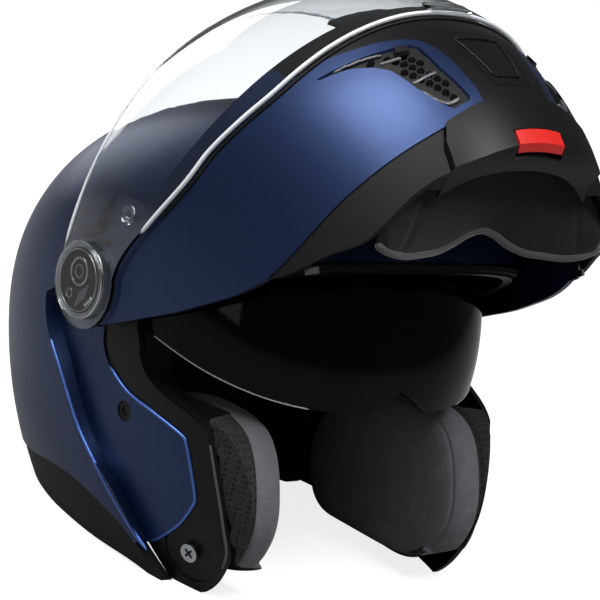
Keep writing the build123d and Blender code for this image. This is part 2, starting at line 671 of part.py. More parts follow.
def sun_visor():
    body = form(SUN_shares, SUN_HALF_WIDTH, SHELL_FULLNESS) - form(
        SUN_shares, SUN_HALF_WIDTH, SHELL_FULLNESS, SUN_WALL)
    region = side_region([side_points(SUN_LOW_shares), side_points(SUN_TOP_shares)])
    peak = front_region(front_points(NOSE_PEAK_shares))
    return whole(body & region - peak)


def skin_plane(skin, start, direction):
    """Plane on a form's skin where a line from inside it comes out, facing outwards."""
    way = Vector(*direction)
    found = skin.find_intersection_points(Axis(start, direction))
    point, normal = max(found, key=lambda hit: (hit[0] - Vector(*start)).dot(way))
    if normal.dot(way) < 0:
        normal = -normal
    return Plane(origin=point, x_dir=CLOSING if abs(normal.dot(CLOSING)) < 1 / 2 else (1, 0, 0), z_dir=normal)


def rod(plane, low, high, radius):
    """Round piece on a plane's normal, from one height to another."""
    return Solid.make_cylinder(radius, high - low, plane.offset(low))


def plate(plane, points, low, high):
    """Flat piece on a plane: an outline extruded from one height to another."""
    corners = [plane.offset(low).from_local_coords(Vector(u, v, 0)) for u, v in points]
    return Solid.extrude(Face(Wire.make_polygon(corners)), plane.z_dir * (high - low))


def striker_plane(side):
    return skin_plane(shell_form(TRIM_DEPTH), (0, STRIKER_Y, STRIKER_Z), (side, 0, 0))


def striker_pocket(side):
    return rod(striker_plane(side), -STRIKER_POCKET, SIDE, STRIKER_POCKET_RADIUS)


def striker(side):
    """Stud that the latch hook grips: a neck through the jaw trim, and a flat head."""
    plane = striker_plane(side)
    neck = rod(plane, -TRIM_WALL, STRIKER_HEAD_LOW, STRIKER_RADIUS)
    return neck + rod(plane, STRIKER_HEAD_LOW, STRIKER_HEAD_TOP, STRIKER_HEAD_RADIUS)


def hook_plane():
    """Plane of the left latch hook: the striker's plane, with its first axis along the closing way."""
    plane = striker_plane(1)
    return Plane(origin=plane.origin, x_dir=CLOSING, z_dir=plane.z_dir)


def hook_eye():
    plane = hook_plane()
    middle = Vector(-HOOK_REACH, HOOK_GRIP + HOOK_BACK / 2, 0)
    return Plane(origin=plane.from_local_coords(middle), z_dir=plane.z_dir)


def to_side(shape, side):
    """Left-hand piece as it is, or its mirror image for the right."""
    return shape if side > 0 else shape.mirror(Plane.YZ)


def latch_hook(side):
    plane, eye = hook_plane(), hook_eye()
    reach, grip, back = HOOK_REACH, HOOK_GRIP, HOOK_BACK
    outline = [
        (-reach, grip), (STRIKER_RADIUS + HOOK_GAP, grip), (STRIKER_RADIUS + HOOK_GAP, -HOOK_NIB),
        (STRIKER_RADIUS + HOOK_GAP + back, -HOOK_NIB), (STRIKER_RADIUS + HOOK_GAP + back, grip + back),
        (-reach, grip + back),
    ]
    body = plate(plane, outline, HOOK_LOW, HOOK_LOW + HOOK_WALL)
    body = body + rod(eye, HOOK_LOW, HOOK_LOW + HOOK_WALL, HOOK_EYE_RADIUS)
    bore = rod(eye, HOOK_LOW - HOOK_WALL, HOOK_LOW + HOOK_WALL * 2, HOOK_PIN_RADIUS + HUB_CLEAR)
    return to_side(body - bore, side)


def hook_pin(side):
    pin = rod(hook_eye(), HOOK_LOW, TRIM_DEPTH, HOOK_PIN_RADIUS) & chin_form(CHIN_WALL / 2)
    return to_side(pin, side)


def side_plug(side):
    plane = skin_plane(shell_form(PANEL_DEPTH), (0, PLUG_Y, PLUG_Z), (side, 0, 0))
    cap = rod(plane, -PANEL_WALL, -PLUG_SET, PLUG_RADIUS)
    return cap - rod(plane, -PLUG_SET * 2, 0, PLUG_RADIUS / 2)


def plug_bore(side):
    plane = skin_plane(shell_form(PANEL_DEPTH), (0, PLUG_Y, PLUG_Z), (side, 0, 0))
    return rod(plane, -PANEL_WALL * 2, PANEL_WALL, PLUG_RADIUS)


def pinlock_plane(side):
    return skin_plane(chin_form(-VISOR_RISE - VISOR_WALL), (0, PINLOCK_Y, PINLOCK_Z), (side, 0, 0))


def pinlock_pin(side):
    plane = pinlock_plane(side)
    head = rod(plane, PINLOCK_GAP, PINLOCK_GAP + PINLOCK_HEAD, PINLOCK_RADIUS)
    return head + rod(plane, -VISOR_WALL, PINLOCK_GAP, PINLOCK_RADIUS / 2)


def arm_plate(side):
    """Steel plate inside the arm's head, round the hub."""
    plate_disc = disc(side, ARM_PLATE_X, ARM_PLATE_X + ARM_PLATE_WALL * 2, ARM_PLATE_RADIUS)
    return whole(plate_disc & chin_form(CHIN_WALL + SEAT) - pivot_bore(side))


def visor_tab():
    wall = chin_form(-VISOR_RISE - VISOR_WALL - TAB_WALL) - chin_form(-VISOR_RISE - VISOR_WALL - SEAT)
    x, low, top = (SIDE * share for share in TAB_shares)
    corners = [Vector(-x, 0, low), Vector(x, 0, low), Vector(x, 0, top), Vector(-x, 0, top)]
    return whole(wall & front_region(corners))


def breath_guard():
    wall = chin_form(GUARD_DEPTH) - chin_form(GUARD_DEPTH + GUARD_WALL)
    region = side_region(straight(side_points(GUARD_shares)))
    slab = Solid.make_box(SIDE * GUARD_HALF_share * 2, SPAN, SPAN + SPAN,
                          Plane(origin=(-SIDE * GUARD_HALF_share, -SPAN, -SPAN)))
    return whole(wall & region & slab)


def curtain_points(shares):
    half_line = [Vector(SIDE * x, SIDE * y, SIDE * CURTAIN_Z_share) for x, y in shares]
    return [Vector(-p.X, p.Y, p.Z) for p in half_line[::-1]] + half_line[1:]


def chin_curtain():
    outer = curtain_points(CURTAIN_OUTER_shares)
    inner = curtain_points(CURTAIN_INNER_shares)[::-1]
    edges = [Edge.make_spline(outer), Edge.make_line(outer[-1], inner[0]), Edge.make_three_point_arc(*inner)]
    face = Face(Wire(edges + [Edge.make_line(inner[-1], outer[0])]))
    return whole(Solid.extrude(face, Vector(0, 0, -CURTAIN_WALL)) & lip_inside(SOFT_CLEAR))


def curtain_piping():
    """Round cord along the curtain's free edge."""
    behind = Vector(0, PIPING_RADIUS + SOFT_CLEAR + SEAT, -CURTAIN_WALL / 2)
    path = Edge.make_three_point_arc(*(p + behind for p in curtain_points(CURTAIN_INNER_shares)))
    start = Plane(origin=path @ 0, z_dir=path % 0)
    return Solid.sweep(Face(Wire.make_circle(PIPING_RADIUS, start)), path)


def top_vent_recess():
    x, y, length = SIDE * TOP_VENT_shares[0], SIDE * TOP_VENT_shares[1], SIDE * TOP_VENT_shares[2]
    zone = Solid.make_box((x + VENT_GAP) * 2, length + VENT_GAP * 2 + TOP_VENT_TRAVEL, SPAN,
                          Plane(origin=(-x - VENT_GAP, y - VENT_GAP, 0)))
    return (shell_form(-SHELL_WALL) - shell_form(TOP_VENT_DEPTH)) & zone


def top_vent_slider():
    x, y, length = SIDE * TOP_VENT_shares[0], SIDE * TOP_VENT_shares[1], SIDE * TOP_VENT_shares[2]
    zone = Solid.make_box(x * 2, length, SPAN, Plane(origin=(-x, y, 0)))
    rib = Solid.make_box(x, RIB_WIDTH, SPAN, Plane(origin=(-x / 2, y + length / 2, 0)))
    body = (shell_form(VENT_GAP / 2) - shell_form(TOP_VENT_DEPTH - VENT_GAP)) & zone
    return whole(body + ((shell_form(-RIB_RISE) - shell_form(TOP_VENT_DEPTH - VENT_GAP)) & rib))


def exhaust_zone():
    """Rear view of the exhaust: a wide shallow six-sided outline."""
    return Solid.extrude(Face(Wire.make_polygon(front_points(EXHAUST_shares))), Vector(0, SPAN, 0))


def rear_exhaust():
    wall = shell_form(-EXHAUST_RISE) - shell_form(SHELL_WALL)
    body = wall & exhaust_zone()
    for side in (-1, 1):
        for number in range(EXHAUST_SLOTS):
            x = side * (EXHAUST_PITCH * (number + 1))
            low = SIDE * EXHAUST_MIDDLE_share - EXHAUST_SLOT_LENGTH / 2
            corner = (x - EXHAUST_SLOT / 2, 0, low)
            body = body - Solid.make_box(EXHAUST_SLOT, SPAN, EXHAUST_SLOT_LENGTH, Plane(origin=corner))
    return whole(body)


def slide_plane():
    """Plane of the sun visor's slide on the wearer's left, its first axis along the collar."""
    y, z = SIDE * SUN_SLIDE_shares[0], SIDE * SUN_SLIDE_shares[1]
    plane = skin_plane(shell_form(COLLAR_DEPTH), (0, y, z), (1, 0, 0))
    along = Vector(0, SUN_SLIDE_shares[2], SUN_SLIDE_shares[3])
    along = along - plane.z_dir * along.dot(plane.z_dir)
    return Plane(origin=plane.origin, x_dir=along, z_dir=plane.z_dir)


def oblong(length, width):
    x, y = length / 2, width / 2
    return [(-x, -y), (x, -y), (x, y), (-x, y)]


def sun_slide_track():
    plane = slide_plane()
    length = KNOB_LENGTH + SUN_SLIDE_TRAVEL + VENT_GAP * 2
    middle = Plane(origin=plane.from_local_coords(Vector(SUN_SLIDE_TRAVEL / 2, 0, 0)), x_dir=plane.x_dir,
                   z_dir=plane.z_dir)
    return plate(middle, oblong(length, KNOB_WIDTH + VENT_GAP * 2), -TRACK_DEPTH, TRACK_DEPTH * 3)


def sun_visor_slider():
    plane = slide_plane()
    body = plate(plane, oblong(KNOB_LENGTH, KNOB_WIDTH), VENT_GAP - TRACK_DEPTH, KNOB_RISE)
    return body + plate(plane, oblong(RIB_WIDTH, KNOB_WIDTH), KNOB_RISE, KNOB_RISE + RIB_RISE)


def brow_seal():
    wall = shell_form(-SEAL_RISE) - shell_form(BROW_DEPTH - SEAT)
    return whole(wall & side_region(straight(side_points(SEAL_shares))))


def strap(side):
    """Chin strap end: it leaves the liner at a slant, and hangs behind the cheek pad."""
    drop = STRAP_REACH_X - STRAP_X
    slant = STRAP_WALL * math.sqrt(2)
    inner = STRAP_X - STRAP_WALL
    corners = [
        Vector(inner, STRAP_FRONT_Y, STRAP_LOW), Vector(STRAP_X, STRAP_FRONT_Y, STRAP_LOW),
        Vector(STRAP_X, STRAP_FRONT_Y, STRAP_BEND), Vector(STRAP_REACH_X, STRAP_FRONT_Y, STRAP_BEND + drop),
        Vector(STRAP_REACH_X, STRAP_FRONT_Y, STRAP_BEND + drop + slant),
        Vector(inner, STRAP_FRONT_Y, STRAP_BEND - STRAP_WALL + slant),
    ]
    band = Solid.extrude(Face(Wire.make_polygon(corners)), Vector(0, STRAP_WIDTH, 0))
    return to_side(whole(band & shell_form(FOAM_DEPTH + SOFT_CLEAR)), side)


def strap_buckle(side):
    outer = STRAP_X - STRAP_WALL - SEAT
    low = outer - BUCKLE_WALL if side > 0 else -outer
    plane = Plane(origin=(low, STRAP_FRONT_Y, STRAP_LOW + BUCKLE_WALL))
    body = Solid.make_box(BUCKLE_WALL, STRAP_WIDTH, BUCKLE_LENGTH, plane)
    return body.fillet(BUCKLE_FILLET, body.edges().filter_by(Axis.Y))


def stand(shape):
    """From the worn frame to the table."""
    return shape.moved(Location((0, STAND_SHIFT, PIVOT_HEIGHT)) * Location((0, 0, 0), (-STAND_PITCH, 0, 0)))


def raised(shape):
    """Swings a chin bar piece from closed to open."""
    return shape.moved(Location((0, 0, 0), (-OPEN_ANGLE, 0, 0)))


def save(name, shape):
    export_step(stand(shape), os.path.join("parts", name + ".step"))


def main():
    sides = (("right", -1), ("left", 1))
    save("outer_shell", outer_shell())
    save("brow_trim", brow_trim())
    save("rear_collar", collar())
    save("foam_liner", foam_liner())
    save("crown_pad", crown_pad())
    save("neck_roll", neck_roll())
    save("sun_visor", sun_visor())
    save("chin_bar_shell", raised(chin_bar_shell()))
    save("chin_nose", raised(chin_nose()))
    save("chin_liner", raised(chin_liner()))
    save("centre_vent_flap", raised(centre_vent_flap()))
    save("chin_lip", raised(chin_lip()))
    save("release_lever", raised(release_lever()))
    save("chin_curtain", raised(chin_curtain()))
    save("curtain_piping", raised(curtain_piping()))
    save("breath_guard", raised(breath_guard()))
    save("visor", raised(visor()))
    save("visor_tab", raised(visor_tab()))
    save("top_vent_slider", top_vent_slider())
    save("rear_exhaust", rear_exhaust())
    save("sun_visor_slider", sun_visor_slider())
    save("brow_seal", brow_seal())
    for word, side in sides:
        save("jaw_trim_" + word, jaw_trim(side))
        save("chin_lower_trim_" + word, raised(chin_lower_trim(side)))
        save("cheek_pad_" + word, cheek_pad(side))
        save("pivot_plate_" + word, pivot_plate(side))
        save("pivot_cover_" + word, pivot_cover(side))
        save("striker_" + word, striker(side))
        save("side_plug_" + word, side_plug(side))
        save("chin_strap_" + word, strap(side))
        save("strap_buckle_" + word, strap_buckle(side))
        save("arm_plate_" + word, raised(arm_plate(side)))
        save("latch_hook_" + word, raised(latch_hook(side)))
        save("vent_grille_" + word, raised(vent_grille(side)))
        save("vent_slider_" + word, raised(vent_slider(side)))
        save("pinlock_pin_" + word, raised(pinlock_pin(side)))


main()
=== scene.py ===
import math

import bmesh
import bpy
import numpy as np
from mathutils import Matrix


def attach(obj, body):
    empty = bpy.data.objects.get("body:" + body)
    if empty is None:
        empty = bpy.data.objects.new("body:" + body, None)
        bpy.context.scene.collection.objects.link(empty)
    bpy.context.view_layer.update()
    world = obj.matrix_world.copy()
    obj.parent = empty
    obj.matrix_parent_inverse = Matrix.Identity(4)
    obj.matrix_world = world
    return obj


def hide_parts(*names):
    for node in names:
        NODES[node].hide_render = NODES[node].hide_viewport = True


bl_info = {
    "name": "Modular helmet dresser",
    "version": (1, 0, 0),
    "blender": (4, 5, 0),
    "location": "View3D > Sidebar > Helmet",
    "description": "Surfaces, linings and finishes of a flip-up motorcycle helmet",
    "category": "Object",
}

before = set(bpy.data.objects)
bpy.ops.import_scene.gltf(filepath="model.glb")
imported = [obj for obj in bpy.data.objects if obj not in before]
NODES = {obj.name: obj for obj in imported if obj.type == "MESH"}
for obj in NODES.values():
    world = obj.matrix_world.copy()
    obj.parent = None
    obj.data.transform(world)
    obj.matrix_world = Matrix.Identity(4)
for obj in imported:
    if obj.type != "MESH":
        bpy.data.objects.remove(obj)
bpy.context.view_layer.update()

MM = 0.001
HINGE = np.array((0.0, 12.2, 138.7)) * MM  # hinge axis in the standing frame
PITCH = math.radians(20)  # the standing helmet leans back by this
OPEN = math.radians(75)  # the raised chin bar against the closed one
SIDES = (("right", -1), ("left", 1))
ABOVE_TABLE = 0.4 * MM  # soft pieces stop short of the table
LINING_INSET = 34.6  # inner face of the foam, from the shell's form
CARRIER_INSET = 12.8  # inner face of the jaw trims
CROWN_INSET = 42.0  # deepest face of the crown pad


# Frames and skins


def tilt(points, angle):
    """Turns rows of X, Y, Z by an angle that takes +Y to +Z."""
    c, s = math.cos(angle), math.sin(angle)
    x, y, z = np.moveaxis(np.asarray(points, float), -1, 0)
    return np.stack([x, y * c - z * s, y * s + z * c], axis=-1)


def from_worn(points):
    """Millimetres of the worn helmet, about the hinge axis, to the standing frame."""
    return tilt(points, -PITCH) * MM + HINGE


def from_closed(points):
    """Millimetres of the closed chin bar, about the hinge axis, to the raised one as it stands."""
    return tilt(points, -PITCH - OPEN) * MM + HINGE


def even(line, samples, closed=False):
    """Points at equal steps of length along a line of points."""
    if closed:
        line = np.vstack([line, line[:1]])
    run = np.concatenate([[0], np.cumsum(np.linalg.norm(np.diff(line, axis=0), axis=1))])
    at = np.linspace(0, run[-1], samples, endpoint=not closed)
    return np.stack([np.interp(at, run, column) for column in line.T], axis=-1)


def flowing(points, samples):
    """Smooth open line through points: each run is a cubic that leaves a point parallel to the
    line between its two neighbours."""
    p = np.asarray(points, float)
    p = np.vstack([2 * p[0] - p[1], p, 2 * p[-1] - p[-2]])
    a, b, c, d = (part[:, None] for part in (p[:-3], p[1:-2], p[2:-1], p[3:]))
    t = np.linspace(0, 1, 17)[None, :, None]
    line = (2 * b + (c - a) * t + (2 * a - 5 * b + 4 * c - d) * t ** 2 + (3 * b - a - 3 * c + d) * t ** 3) / 2
    return even(line.reshape(-1, p.shape[1]), samples)


def rounded(points, radius, samples):
    """Closed outline with rounded corners: a corner is a parabola between the two points that
    are a radius away from it."""
    p = np.asarray(points, float)

    def towards(other):
        run = np.linalg.norm(other - p, axis=1, keepdims=True)
        return (p + (other - p) * np.minimum(0.45, radius / run))[:, None]

    t = np.linspace(0, 1, 9)[None, :, None]
    before, after = towards(np.roll(p, 1, 0)), towards(np.roll(p, -1, 0))
    line = (1 - t) ** 2 * before + 2 * t * (1 - t) * p[:, None] + t ** 2 * after
    return even(line.reshape(-1, 2), samples, closed=True)


def mirrored(half):
    """Half a line, from the middle plane outwards, with its mirror image before it."""
    half = np.asarray(half, float)
    other = half[:0:-1] * np.array((-1,) + (1,) * (half.shape[1] - 1))
    return np.vstack([other, half])


class Skin:
    """A form of the helmet: its side silhouette about the hinge axis, a periodic cubic spline by
    chord length, carried across the head on a superellipse, so that
    (r / (R - inset))^n + (|x| / (W - inset))^n = 1."""

    def __init__(self, table, half_width, power):
        degrees, radii = np.array(table, float).T
        up = np.radians(degrees)
        p = np.stack([-radii * np.cos(up), radii * np.sin(up)], axis=1)
        following = np.roll(p, -1, 0)
        run = np.linalg.norm(following - p, axis=1)
        before = np.roll(run, 1)
        knot = np.arange(len(p))
        system = np.zeros((len(p), len(p)))
        system[knot, knot] = 2 * (run + before)
        system[knot, (knot + 1) % len(p)] += run
        system[knot, (knot - 1) % len(p)] += before
        slope = (following - p) / run[:, None]
        bend = np.linalg.solve(system, 6 * (slope - np.roll(slope, 1, 0)))
        h = run[:, None, None]
        t = np.linspace(0, 1, 120, endpoint=False)[None, :, None] * h
        bend_0, bend_1 = bend[:, None], np.roll(bend, -1, 0)[:, None]
        p_0, p_1 = p[:, None], following[:, None]
        line = ((bend_0 * (h - t) ** 3 + bend_1 * t ** 3) / (6 * h)
                + (p_0 / h - bend_0 * h / 6) * (h - t) + (p_1 / h - bend_1 * h / 6) * t)
        y, z = line.reshape(-1, 2).T
        angle = np.arctan2(z, -y)
        order = np.argsort(angle)
        self.angles, self.radii = angle[order], np.hypot(y, z)[order]
        self.half_width, self.power = half_width, power

    def radius(self, angle, inset):
        """Side silhouette's distance from the hinge axis."""
        return np.interp(angle, self.angles, self.radii, period=2 * math.pi) - inset

    def point(self, angle, turn, inset):
        """Point of the form at an angle up from forward and a turn across:
        x = W sin(t)^(2/n), r = R cos(t)^(2/n)."""
        across = np.sign(turn) * np.abs(np.sin(turn)) ** (2 / self.power) * (self.half_width - inset)
        r = self.radius(angle, inset) * np.cos(turn) ** (2 / self.power)
        return np.stack(np.broadcast_arrays(across, -r * np.cos(angle), r * np.sin(angle)), axis=-1)

    def across(self, y, z, inset):
        """Distance of the form from the middle plane at a place of the side view."""
        share = np.clip(np.hypot(y, z) / self.radius(np.arctan2(z, -y), inset), 0, 1)
        return (self.half_width - inset) * (1 - share ** self.power) ** (1 / self.power)

    def over(self, line, inset, turns):
        """Path on the form whose side view is the given line: a turn crosses it where r / R is the
        turn's size."""
        y, z = flowing(line, 160).T
        angle = np.unwrap(np.arctan2(z, -y))
        share = np.hypot(y, z) / self.radius(angle, inset)
        order = np.argsort(share)
        size = np.cos(turns) ** (2 / self.power)
        return self.point(np.interp(size, share[order], angle[order]), turns, inset)

    def facing(self, x, z, inset):
        """Forward point of the form at a place of the front view."""
        x, z = np.broadcast_arrays(np.asarray(x, float), np.asarray(z, float))
        size = (1 - (np.abs(x) / (self.half_width - inset)) ** self.power) ** (1 / self.power)
        angle = np.linspace(-1.5, 1.0, 1500)
        heights = size[..., None] * self.radius(angle, inset) * np.sin(angle)
        found = angle[np.abs(heights - z[..., None]).argmin(-1)]
        return np.stack([x, -z / np.tan(found), z], axis=-1)


SHELL = Skin((
    (-90, 236), (-75, 237), (-60, 222), (-45, 190), (-30, 161), (-15, 141), (0, 134), (12, 134), (27, 131),
    (57, 111), (90, 102), (121, 113), (145, 131), (165, 150), (180, 162), (194, 171), (208, 181), (222, 192),
    (245, 212)), 125.0, 2.3)
CHIN = Skin((
    (-90, 236), (-75, 233), (-60, 224), (-45, 213), (-30, 196), (-15, 178), (-3, 161), (9, 144), (25, 128),
    (45, 114), (75, 105), (105, 110), (135, 127), (165, 150), (194, 171), (222, 192), (245, 212)), 125.5, 2.2)
SUN = Skin((
    (-90, 160), (-60, 142), (-40, 129), (-28, 123.5), (-15, 118), (0, 112.5), (6, 109), (12, 105.2),
    (40, 90), (90, 80), (140, 90), (180, 110), (225, 140)), 111.0, 2.3)


# Mesh making


def grid_faces(rows, columns, loop_rows, loop_columns):
    """Quads between the neighbours of a grid; a looped direction joins its last line to its first."""
    i, j = np.meshgrid(
        np.arange(rows - (not loop_rows)), np.arange(columns - (not loop_columns)), indexing="ij")
    after, beside = (i + 1) % rows, (j + 1) % columns
    quads = (i * columns + j, after * columns + j, after * columns + beside, i * columns + beside)
    return np.stack(quads, axis=-1).reshape(-1, 4)


def piece(name, points, body, materials, pick=None, loop_rows=False, loop_columns=True):
    """Object from a grid of points, merged at its poles, facing outwards and riding on a body."""
    rows, columns = points.shape[:2]
    faces = grid_faces(rows, columns, loop_rows, loop_columns)
    mesh = bpy.data.meshes.new(name)
    mesh.from_pydata(points.reshape(-1, 3).tolist(), [], faces.tolist())
    mesh.polygons.foreach_set("use_smooth", np.ones(len(faces), bool))
    if pick is not None:
        mesh.polygons.foreach_set("material_index", np.asarray(pick, np.int32).ravel())
    work = bmesh.new()
    work.from_mesh(mesh)
    bmesh.ops.remove_doubles(work, verts=work.verts, dist=0.002 * MM)
    bmesh.ops.recalc_face_normals(work, faces=work.faces)
    work.to_mesh(mesh)
    work.free()
    for material in materials:
        mesh.materials.append(material)
    thing = bpy.data.objects.new(name, mesh)
    bpy.context.scene.collection.objects.link(thing)
    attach(thing, body)
    return thing


def oval(width, height, count, power=2.0):
    """Closed superellipse profile: both axes of the circle are raised to 2 / power."""
    t = np.linspace(0, 2 * math.pi, count, endpoint=False)
    c, s = (np.sign(v) * np.abs(v) ** (2 / power) for v in (np.cos(t), np.sin(t)))
    return np.stack([c * width, s * height], axis=-1) / 2


def carried(path, up, profile, closed=False, taper=0):
    """A profile carried along a path: side = way ahead x up. Open ends are rounded off over the
    taper's number of points, or else shut by a flat face."""
    if closed:
        ahead = np.roll(path, -1, 0) - np.roll(path, 1, 0)
    else:
        ahead = np.gradient(path, axis=0)
    ahead /= np.linalg.norm(ahead, axis=1, keepdims=True)
    side = np.cross(ahead, np.broadcast_to(up, path.shape))
    side /= np.linalg.norm(side, axis=1, keepdims=True)
    up = np.cross(side, ahead)
    size = np.ones(len(path))
    if taper:
        near = np.minimum(np.arange(len(path)), np.arange(len(path))[::-1]) / taper
        size = np.sqrt(1 - (1 - np.clip(near, 0, 1)) ** 2)
    grid = profile[None] * size[:, None, None]
    rows = path[:, None] + grid[..., :1] * side[:, None] + grid[..., 1:] * up[:, None]
    if closed or taper:
        return rows
    ends = (rows[0], rows[-1])
    first, last = (np.repeat(row.mean(0, keepdims=True), len(profile), 0)[None] for row in ends)
    return np.concatenate([first, rows, last])


def smooth_step(value, low, high):
    """0 below low, 1 above high, and 3t^2 - 2t^3 between them."""
    t = np.clip((value - low) / (high - low), 0, 1)
    return t * t * (3 - 2 * t)


# Materials


def linear(code):
    """sRGB hex to linear red, green, blue, alpha."""
    parts = [int(code[k:k + 2], 16) / 255 for k in (0, 2, 4)]
    return tuple(v / 12.92 if v <= 0.04045 else ((v + 0.055) / 1.055) ** 2.4 for v in parts) + (1.0,)


def rgba(base):
    """Linear colour of a hex code, or of a property's red, green and blue."""
    return linear(base) if isinstance(base, str) else (*base, 1.0)


def add(tree, kind, inputs=None, **settings):
    """One node with its settings; each input is a value or the socket that feeds it."""
    made = tree.nodes.new(kind)
    for key, value in settings.items():
        setattr(made, key, value)
    for key, value in (inputs or {}).items():
        if isinstance(value, bpy.types.NodeSocket):
            tree.links.new(value, made.inputs[key])
        else:
            made.inputs[key].default_value = value
    return made


def surface(name, base, roughness, **sockets):
    """New material with a Principled shader; returns it, its tree, the shader and the place on the object."""
    material = bpy.data.materials.new(name)
    material.use_nodes = True
    tree = material.node_tree
    shader = tree.nodes["Principled BSDF"]
    shader.inputs["Base Color"].default_value = rgba(base)
    shader.inputs["Roughness"].default_value = roughness
    for key, value in sockets.items():
        shader.inputs[key.replace("_", " ")].default_value = value
    spot = add(tree, "ShaderNodeTexCoord").outputs["Object"]
    return material, tree, shader, spot


def feed(tree, shader, **outputs):
    """Links each output to the shader's input of that name."""
    for key, output in outputs.items():
        tree.links.new(output, shader.inputs[key.replace("_", " ")])


def metallic_paint(name, base):
    """Satin metallic lacquer sprayed on moulded thermoplastic: aluminium flakes under a soft clear
    coat, so that it goes light where it faces a lamp and deep where it turns away."""
    material, tree, shader, spot = surface(
        name, base, 0.4, Metallic=0.85, Specular_IOR_Level=0.3,
        Coat_Weight=0.3, Coat_Roughness=0.35, Coat_IOR=1.5)
    flake = add(tree, "ShaderNodeTexVoronoi", {"Vector": spot, "Scale": 1 / (0.6 * MM)})
    tone = add(tree, "ShaderNodeMapRange", {
        "Value": flake.outputs["Color"], "To Min": 0.36, "To Max": 0.46})
    orange = add(tree, "ShaderNodeTexNoise", {"Vector": spot, "Scale": 1 / (3.5 * MM), "Detail": 1.0})
    bump = add(tree, "ShaderNodeBump", {
        "Height": orange.outputs["Fac"], "Distance": 0.01 * MM, "Strength": 0.3})
    feed(tree, shader, Roughness=tone.outputs["Result"], Normal=bump.outputs["Normal"])
    return material


def moulded_black(name, base="08080a", roughness=0.40, grain=0.45, depth=0.03, **sockets):
    """Injection-moulded black plastic with the fine grain of a spark-eroded mould, which breaks up
    its gloss; the grain is drawn a little coarser than the real 0.2 mm so that it shows."""
    sockets = {"Specular_IOR_Level": 0.2, **sockets}
    material, tree, shader, spot = surface(name, base, roughness, **sockets)
    noise = add(tree, "ShaderNodeTexNoise", {"Vector": spot, "Scale": 1 / (grain * MM), "Detail": 2.0})
    tone = add(tree, "ShaderNodeMapRange", {
        "Value": noise.outputs["Fac"], "To Min": roughness - 0.06, "To Max": roughness + 0.08})
    bump = add(tree, "ShaderNodeBump", {
        "Height": noise.outputs["Fac"], "Distance": depth * MM, "Strength": 0.6})
    feed(tree, shader, Roughness=tone.outputs["Result"], Normal=bump.outputs["Normal"])
    return material


def moulded_grey(name, base, roughness):
    """The same plastic in grey, a little glossier: small fittings that catch the light. Along the jaw trims'
    black edges its grey is a painted highlight.
    """
    return moulded_black(name, base, roughness, 0.4, 0.02, Specular_IOR_Level=0.5)


def bead_foam(name):
    """Moulded expanded polystyrene, dyed black: 3 mm beads pressed into flat cells with fine seams."""
    material, tree, shader, spot = surface(name, "131314", 0.85, Specular_IOR_Level=0.2)
    bead = add(tree, "ShaderNodeTexVoronoi", {"Vector": spot, "Scale": 1 / (3.0 * MM)},
               feature="DISTANCE_TO_EDGE")
    edge = add(tree, "ShaderNodeMapRange", {"Value": bead.outputs["Distance"], "From Max": 0.12})
    tone = add(tree, "ShaderNodeMix", {
        "Factor": edge.outputs["Result"], "A": linear("08080a"), "B": linear("1b1b1e")}, data_type="RGBA")
    bump = add(tree, "ShaderNodeBump", {
        "Height": edge.outputs["Result"], "Distance": 0.25 * MM, "Strength": 0.8})
    feed(tree, shader, Base_Color=tone.outputs["Result"], Normal=bump.outputs["Normal"])
    return material


def spacer_mesh(name):
    """Black knitted spacer mesh: rows of open holes between thick strands that catch a little light. The
    holes are painted near black, as painted shade inside them.
    """
    strand = "232325"
    material, tree, shader, spot = surface(name, strand, 0.75, Specular_IOR_Level=0.25, Sheen_Weight=0.08)
    hole = add(tree, "ShaderNodeTexVoronoi", {
        "Vector": spot, "Scale": 1 / (3.0 * MM), "Randomness": 0.25})
    rim = add(tree, "ShaderNodeMapRange", {
        "Value": hole.outputs["Distance"], "From Min": 0.26, "From Max": 0.48})
    yarn = add(tree, "ShaderNodeTexNoise", {"Vector": spot, "Scale": 1 / (0.5 * MM), "Detail": 2.0})
    light = add(tree, "ShaderNodeMath", {0: rim.outputs["Result"], 1: yarn.outputs["Fac"]},
                operation="MULTIPLY")
    # near black in the holes: painted shade inside them; the strands keep their own dark grey
    tone = add(tree, "ShaderNodeMix", {
        "Factor": light.outputs[0], "A": linear("020203"), "B": linear(strand)}, data_type="RGBA")
    bump = add(tree, "ShaderNodeBump", {
        "Height": light.outputs[0], "Distance": 0.8 * MM, "Strength": 1.0})
    feed(tree, shader, Base_Color=tone.outputs["Result"], Normal=bump.outputs["Normal"])
    return material


def knitted_cloth(name, base, dark, stitch=0.9, depth=0.12, sheen=0.15):
    """Fine brushed polyester knit: matt, a faint row pattern and a soft sheen where it turns away."""
    material, tree, shader, spot = surface(
        name, base, 0.9, Specular_IOR_Level=0.2, Sheen_Weight=sheen, Sheen_Roughness=0.4)
    rows = add(tree, "ShaderNodeTexVoronoi", {
        "Vector": spot, "Scale": 1 / (stitch * MM), "Randomness": 0.4})
    cloud = add(tree, "ShaderNodeTexNoise", {"Vector": spot, "Scale": 1 / (9 * MM), "Detail": 3.0})
    nap = add(tree, "ShaderNodeMath", {0: rows.outputs["Distance"], 1: cloud.outputs["Fac"], 2: 0.3},
              operation="MULTIPLY_ADD")
    tone = add(tree, "ShaderNodeMix", {
        "Factor": nap.outputs[0], "A": linear(dark), "B": rgba(base)}, data_type="RGBA")
    bump = add(tree, "ShaderNodeBump", {
        "Height": rows.outputs["Distance"], "Distance": depth * MM, "Strength": 0.7})
    feed(tree, shader, Base_Color=tone.outputs["Result"], Normal=bump.outputs["Normal"])
    return material


def lining_knit(name):
    """Coarser black knit of the linings, which swallows light inside the helmet."""
    return knitted_cloth(name, "18181a", "0c0c0e", stitch=1.4, depth=0.25)


